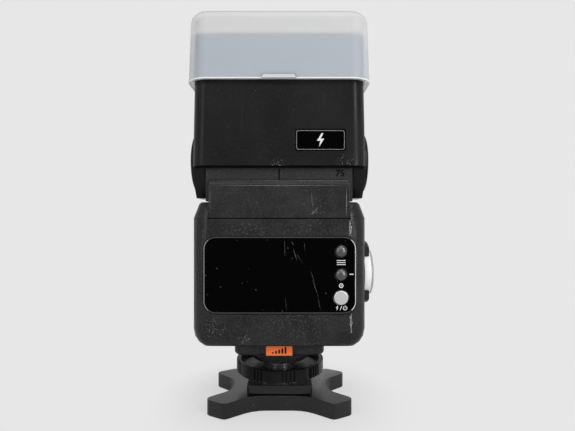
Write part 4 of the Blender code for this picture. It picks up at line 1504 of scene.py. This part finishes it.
@dataclass
class DiffuserCap(Assembly):
    """The frosted cap."""

    middle: Point = (0.0, -3.75)
    half: Point = (34.4, 21.0)
    radius: float = 7.6
    low: float = 127.0
    wall: float = 0.5
    rim_rise: float = 0.35
    lip_face: float = -25.355
    lip_half: Sizes = (6.3, 5.5)  # at the foot and at the top
    lip_foot: float = 0.35
    lip_top: float = 1.3
    lip_rise: float = 0.03
    lip_sink: float = 0.2
    # The painted shade line round the finger lip: its height, its width at the sides and how far
    # it stands out.
    crease: float = 0.28
    shade_line_side: float = 0.3
    shade_line_rise: float = 0.025

    def dress(self) -> None:
        """Finishes the cap."""
        self.shop.dress(FROSTED, "diffuser_cap")

    def build(self) -> None:
        """The cap's bottom edge painted pale as a highlight, and the finger lip's face with a
        line of painted shade round it.
        """
        outer, inner = rounded_band(self.middle, self.half, self.radius, self.wall)
        foot = self.low - PRINT_RISE
        shape = laid_level(ring_strip(outer, inner, foot, self.low + self.rim_rise))
        self.shop.piece("cap_edge_highlight", shape, FROST_HIGHLIGHT, "diffuser_cap", "frosted")
        (wide, narrow), top = self.lip_half, self.low + self.lip_top
        face = [(-wide, self.low), (wide, self.low), (narrow, top), (-narrow, top)]
        inside = self.lip_face + self.lip_sink
        shape = marks([face], self.lip_face - self.lip_rise, inside)
        self.shop.piece("cap_finger_lip", shape, FROST_LIP, "diffuser_cap", "frosted")
        start, end, side = self.low + self.lip_foot, top + self.crease, self.shade_line_side
        strokes = [bar(0.0, top + self.crease / 2, 2 * (narrow + side), self.crease)]
        for way in (-1, 1):
            strokes.append([
                (way * wide, start), (way * (wide + side), start),
                (way * (narrow + side), end), (way * narrow, end),
            ])
        shape = marks(strokes, self.lip_face - self.shade_line_rise, inside)
        self.shop.piece("cap_lip_shade_line", shape, FROST_SHADE_LINE, "diffuser_cap", "frosted")


@dataclass(frozen=True)
class Lamp:
    """One soft area lamp: its place and aim in metres, its size in metres and its watts."""

    name: str
    at: tuple[float, float, float]
    towards: tuple[float, float, float]
    size: tuple[float, float]
    power: float

    def build(self) -> None:
        """Puts the lamp in the scene."""
        lamp = bpy.data.lights.new(self.name, "AREA")
        lamp.shape = "RECTANGLE"
        lamp.size, lamp.size_y = self.size
        lamp.energy = self.power
        obj = bpy.data.objects.new(self.name, lamp)
        obj.location = self.at
        aim = Vector(self.towards) - Vector(self.at)
        obj.rotation_euler = aim.to_track_quat("-Z", "Y").to_euler()
        bpy.context.scene.collection.objects.link(obj)


@dataclass
class Studio:
    """Floor, light and camera."""

    pale: float = 0.80
    floor: float = 0.8
    floor_radius: float = 4.0
    floor_segments: int = 64
    floor_drop: float = 0.0003
    sky: float = 0.2
    shadow_reach: Sizes = (0.03, 0.06)  # metres from the middle
    shadow_lift: float = 0.72
    camera_at: tuple[float, float, float] = (3.15, -183.0, 77.0)
    lens: float = 27.25
    sensor: float = 36.0
    clip_start: float = 0.01
    lamps: tuple[Lamp, ...] = (
        Lamp("overhead", (0.05, -0.06, 0.75), (0.0, 0.0, 0.05), (0.45, 0.5), 2.3),
        Lamp("right_side", (0.42, -0.52, 0.26), (0.0, 0.0, 0.08), (0.07, 0.7), 2.7),
        Lamp("left_side", (-0.42, -0.5, 0.32), (0.0, 0.0, 0.08), (0.07, 0.6), 1.0),
        Lamp("high_front", (0.08, -0.72, 0.66), (0.0, 0.0, 0.09), (0.9, 0.4), 1.2),
    )

    def build(self) -> None:
        """Makes the whole studio."""
        scene = bpy.context.scene
        scene.view_settings.view_transform = "Standard"
        self._world(scene)
        self._floor()
        for lamp in self.lamps:
            lamp.build()
        self._camera(scene)

    @staticmethod
    def _seen(tree: Tree) -> Socket:
        """Whether a ray shows the backdrop: it comes from the camera, a reflection or glass.

        Args:
            tree: the tree it goes in.

        Returns:
            1 for such a ray and 0 for one that only carries light.
        """
        ray = add(tree, "LightPath", {})
        total = ray.outputs["Is Camera Ray"]
        for kind in ("Is Glossy Ray", "Is Transmission Ray"):
            values = {0: total, 1: ray.outputs[kind]}
            total = add(tree, "Math", values, operation="ADD", use_clamp=True).outputs[0]
        return total

    def _world(self, scene: bpy.types.Scene) -> None:
        """Even pale light from all round, and the pale backdrop.

        Args:
            scene: the scene.
        """
        world = bpy.data.worlds.new("studio")
        world.use_nodes = True
        tree = world.node_tree
        sky = tree.nodes["Background"]
        sky.inputs["Color"].default_value = (1.0, 1.0, 1.0, 1.0)
        sky.inputs["Strength"].default_value = self.sky
        seen = add(tree, "Background", {"Color": (*grey(self.pale), 1.0)})
        values = {
            "Fac": self._seen(tree), 1: sky.outputs["Background"], 2: seen.outputs["Background"],
        }
        mix = add(tree, "MixShader", values)
        tree.links.new(mix.outputs["Shader"], tree.nodes["World Output"].inputs["Surface"])
        scene.world = world

    def _floor(self) -> None:
        """A pale round floor that fades into the backdrop and keeps the object's shadow."""
        shape = bmesh.new()
        bmesh.ops.create_circle(
            shape, cap_ends=True, segments=self.floor_segments, radius=self.floor_radius
        )
        mesh = bpy.data.meshes.new("floor")
        shape.to_mesh(mesh)
        shape.free()
        floor = bpy.data.objects.new("floor", mesh)
        floor.location.z = -self.floor_drop
        bpy.context.scene.collection.objects.link(floor)
        mesh.materials.append(self._floor_material())

    def _floor_material(self) -> bpy.types.Material:
        """Diffuse where it carries light, and mostly the backdrop's own tone where it is seen.

        Returns:
            The material.
        """
        pale = bpy.data.materials.new("pale_floor")
        pale.use_nodes = True
        tree = pale.node_tree
        tree.nodes.clear()
        lit = add(tree, "BsdfDiffuse", {"Color": (*grey(self.floor), 1.0)})
        glow = add(tree, "Emission", {"Color": (*grey(self.pale), 1.0)})
        place = add(tree, "TexCoord", {}).outputs["Object"]
        away = add(tree, "VectorMath", {0: place}, operation="LENGTH").outputs["Value"]
        near, far = self.shadow_reach
        values = {"Value": away, "From Min": near, "From Max": far, "To Min": self.shadow_lift}
        lift = add(tree, "MapRange", values, interpolation_type="SMOOTHSTEP").outputs["Result"]
        values = {0: self._seen(tree), 1: lift}
        shown = add(tree, "Math", values, operation="MULTIPLY").outputs[0]
        values = {"Fac": shown, 1: lit.outputs["BSDF"], 2: glow.outputs["Emission"]}
        mix = add(tree, "MixShader", values).outputs["Shader"]
        add(tree, "OutputMaterial", {"Surface": mix})
        return pale

    def _camera(self, scene: bpy.types.Scene) -> None:
        """A level camera at the photograph's place.

        Args:
            scene: the scene.
        """
        data = bpy.data.cameras.new("camera")
        data.sensor_width = self.sensor
        data.sensor_fit = "HORIZONTAL"
        data.lens = self.lens
        data.clip_start = self.clip_start
        camera = bpy.data.objects.new("camera", data)
        camera.location = Vector(self.camera_at) * MM
        camera.rotation_euler = (math.radians(90), 0, 0)
        scene.collection.objects.link(camera)
        scene.camera = camera


def main() -> None:
    """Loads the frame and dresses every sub-assembly."""
    logging.basicConfig(level=logging.INFO)
    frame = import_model()
    shop = Workshop(frame)
    kinds = (Stand, RadioModule, FlashBody, ControlPanel, SideDial, Neck, Head, DiffuserCap)
    assemblies = [kind(shop) for kind in kinds]
    for assembly in assemblies:
        assembly.dress()
    for assembly in assemblies:
        assembly.build()
    Studio().build()


if __name__ == "__main__":
    main()
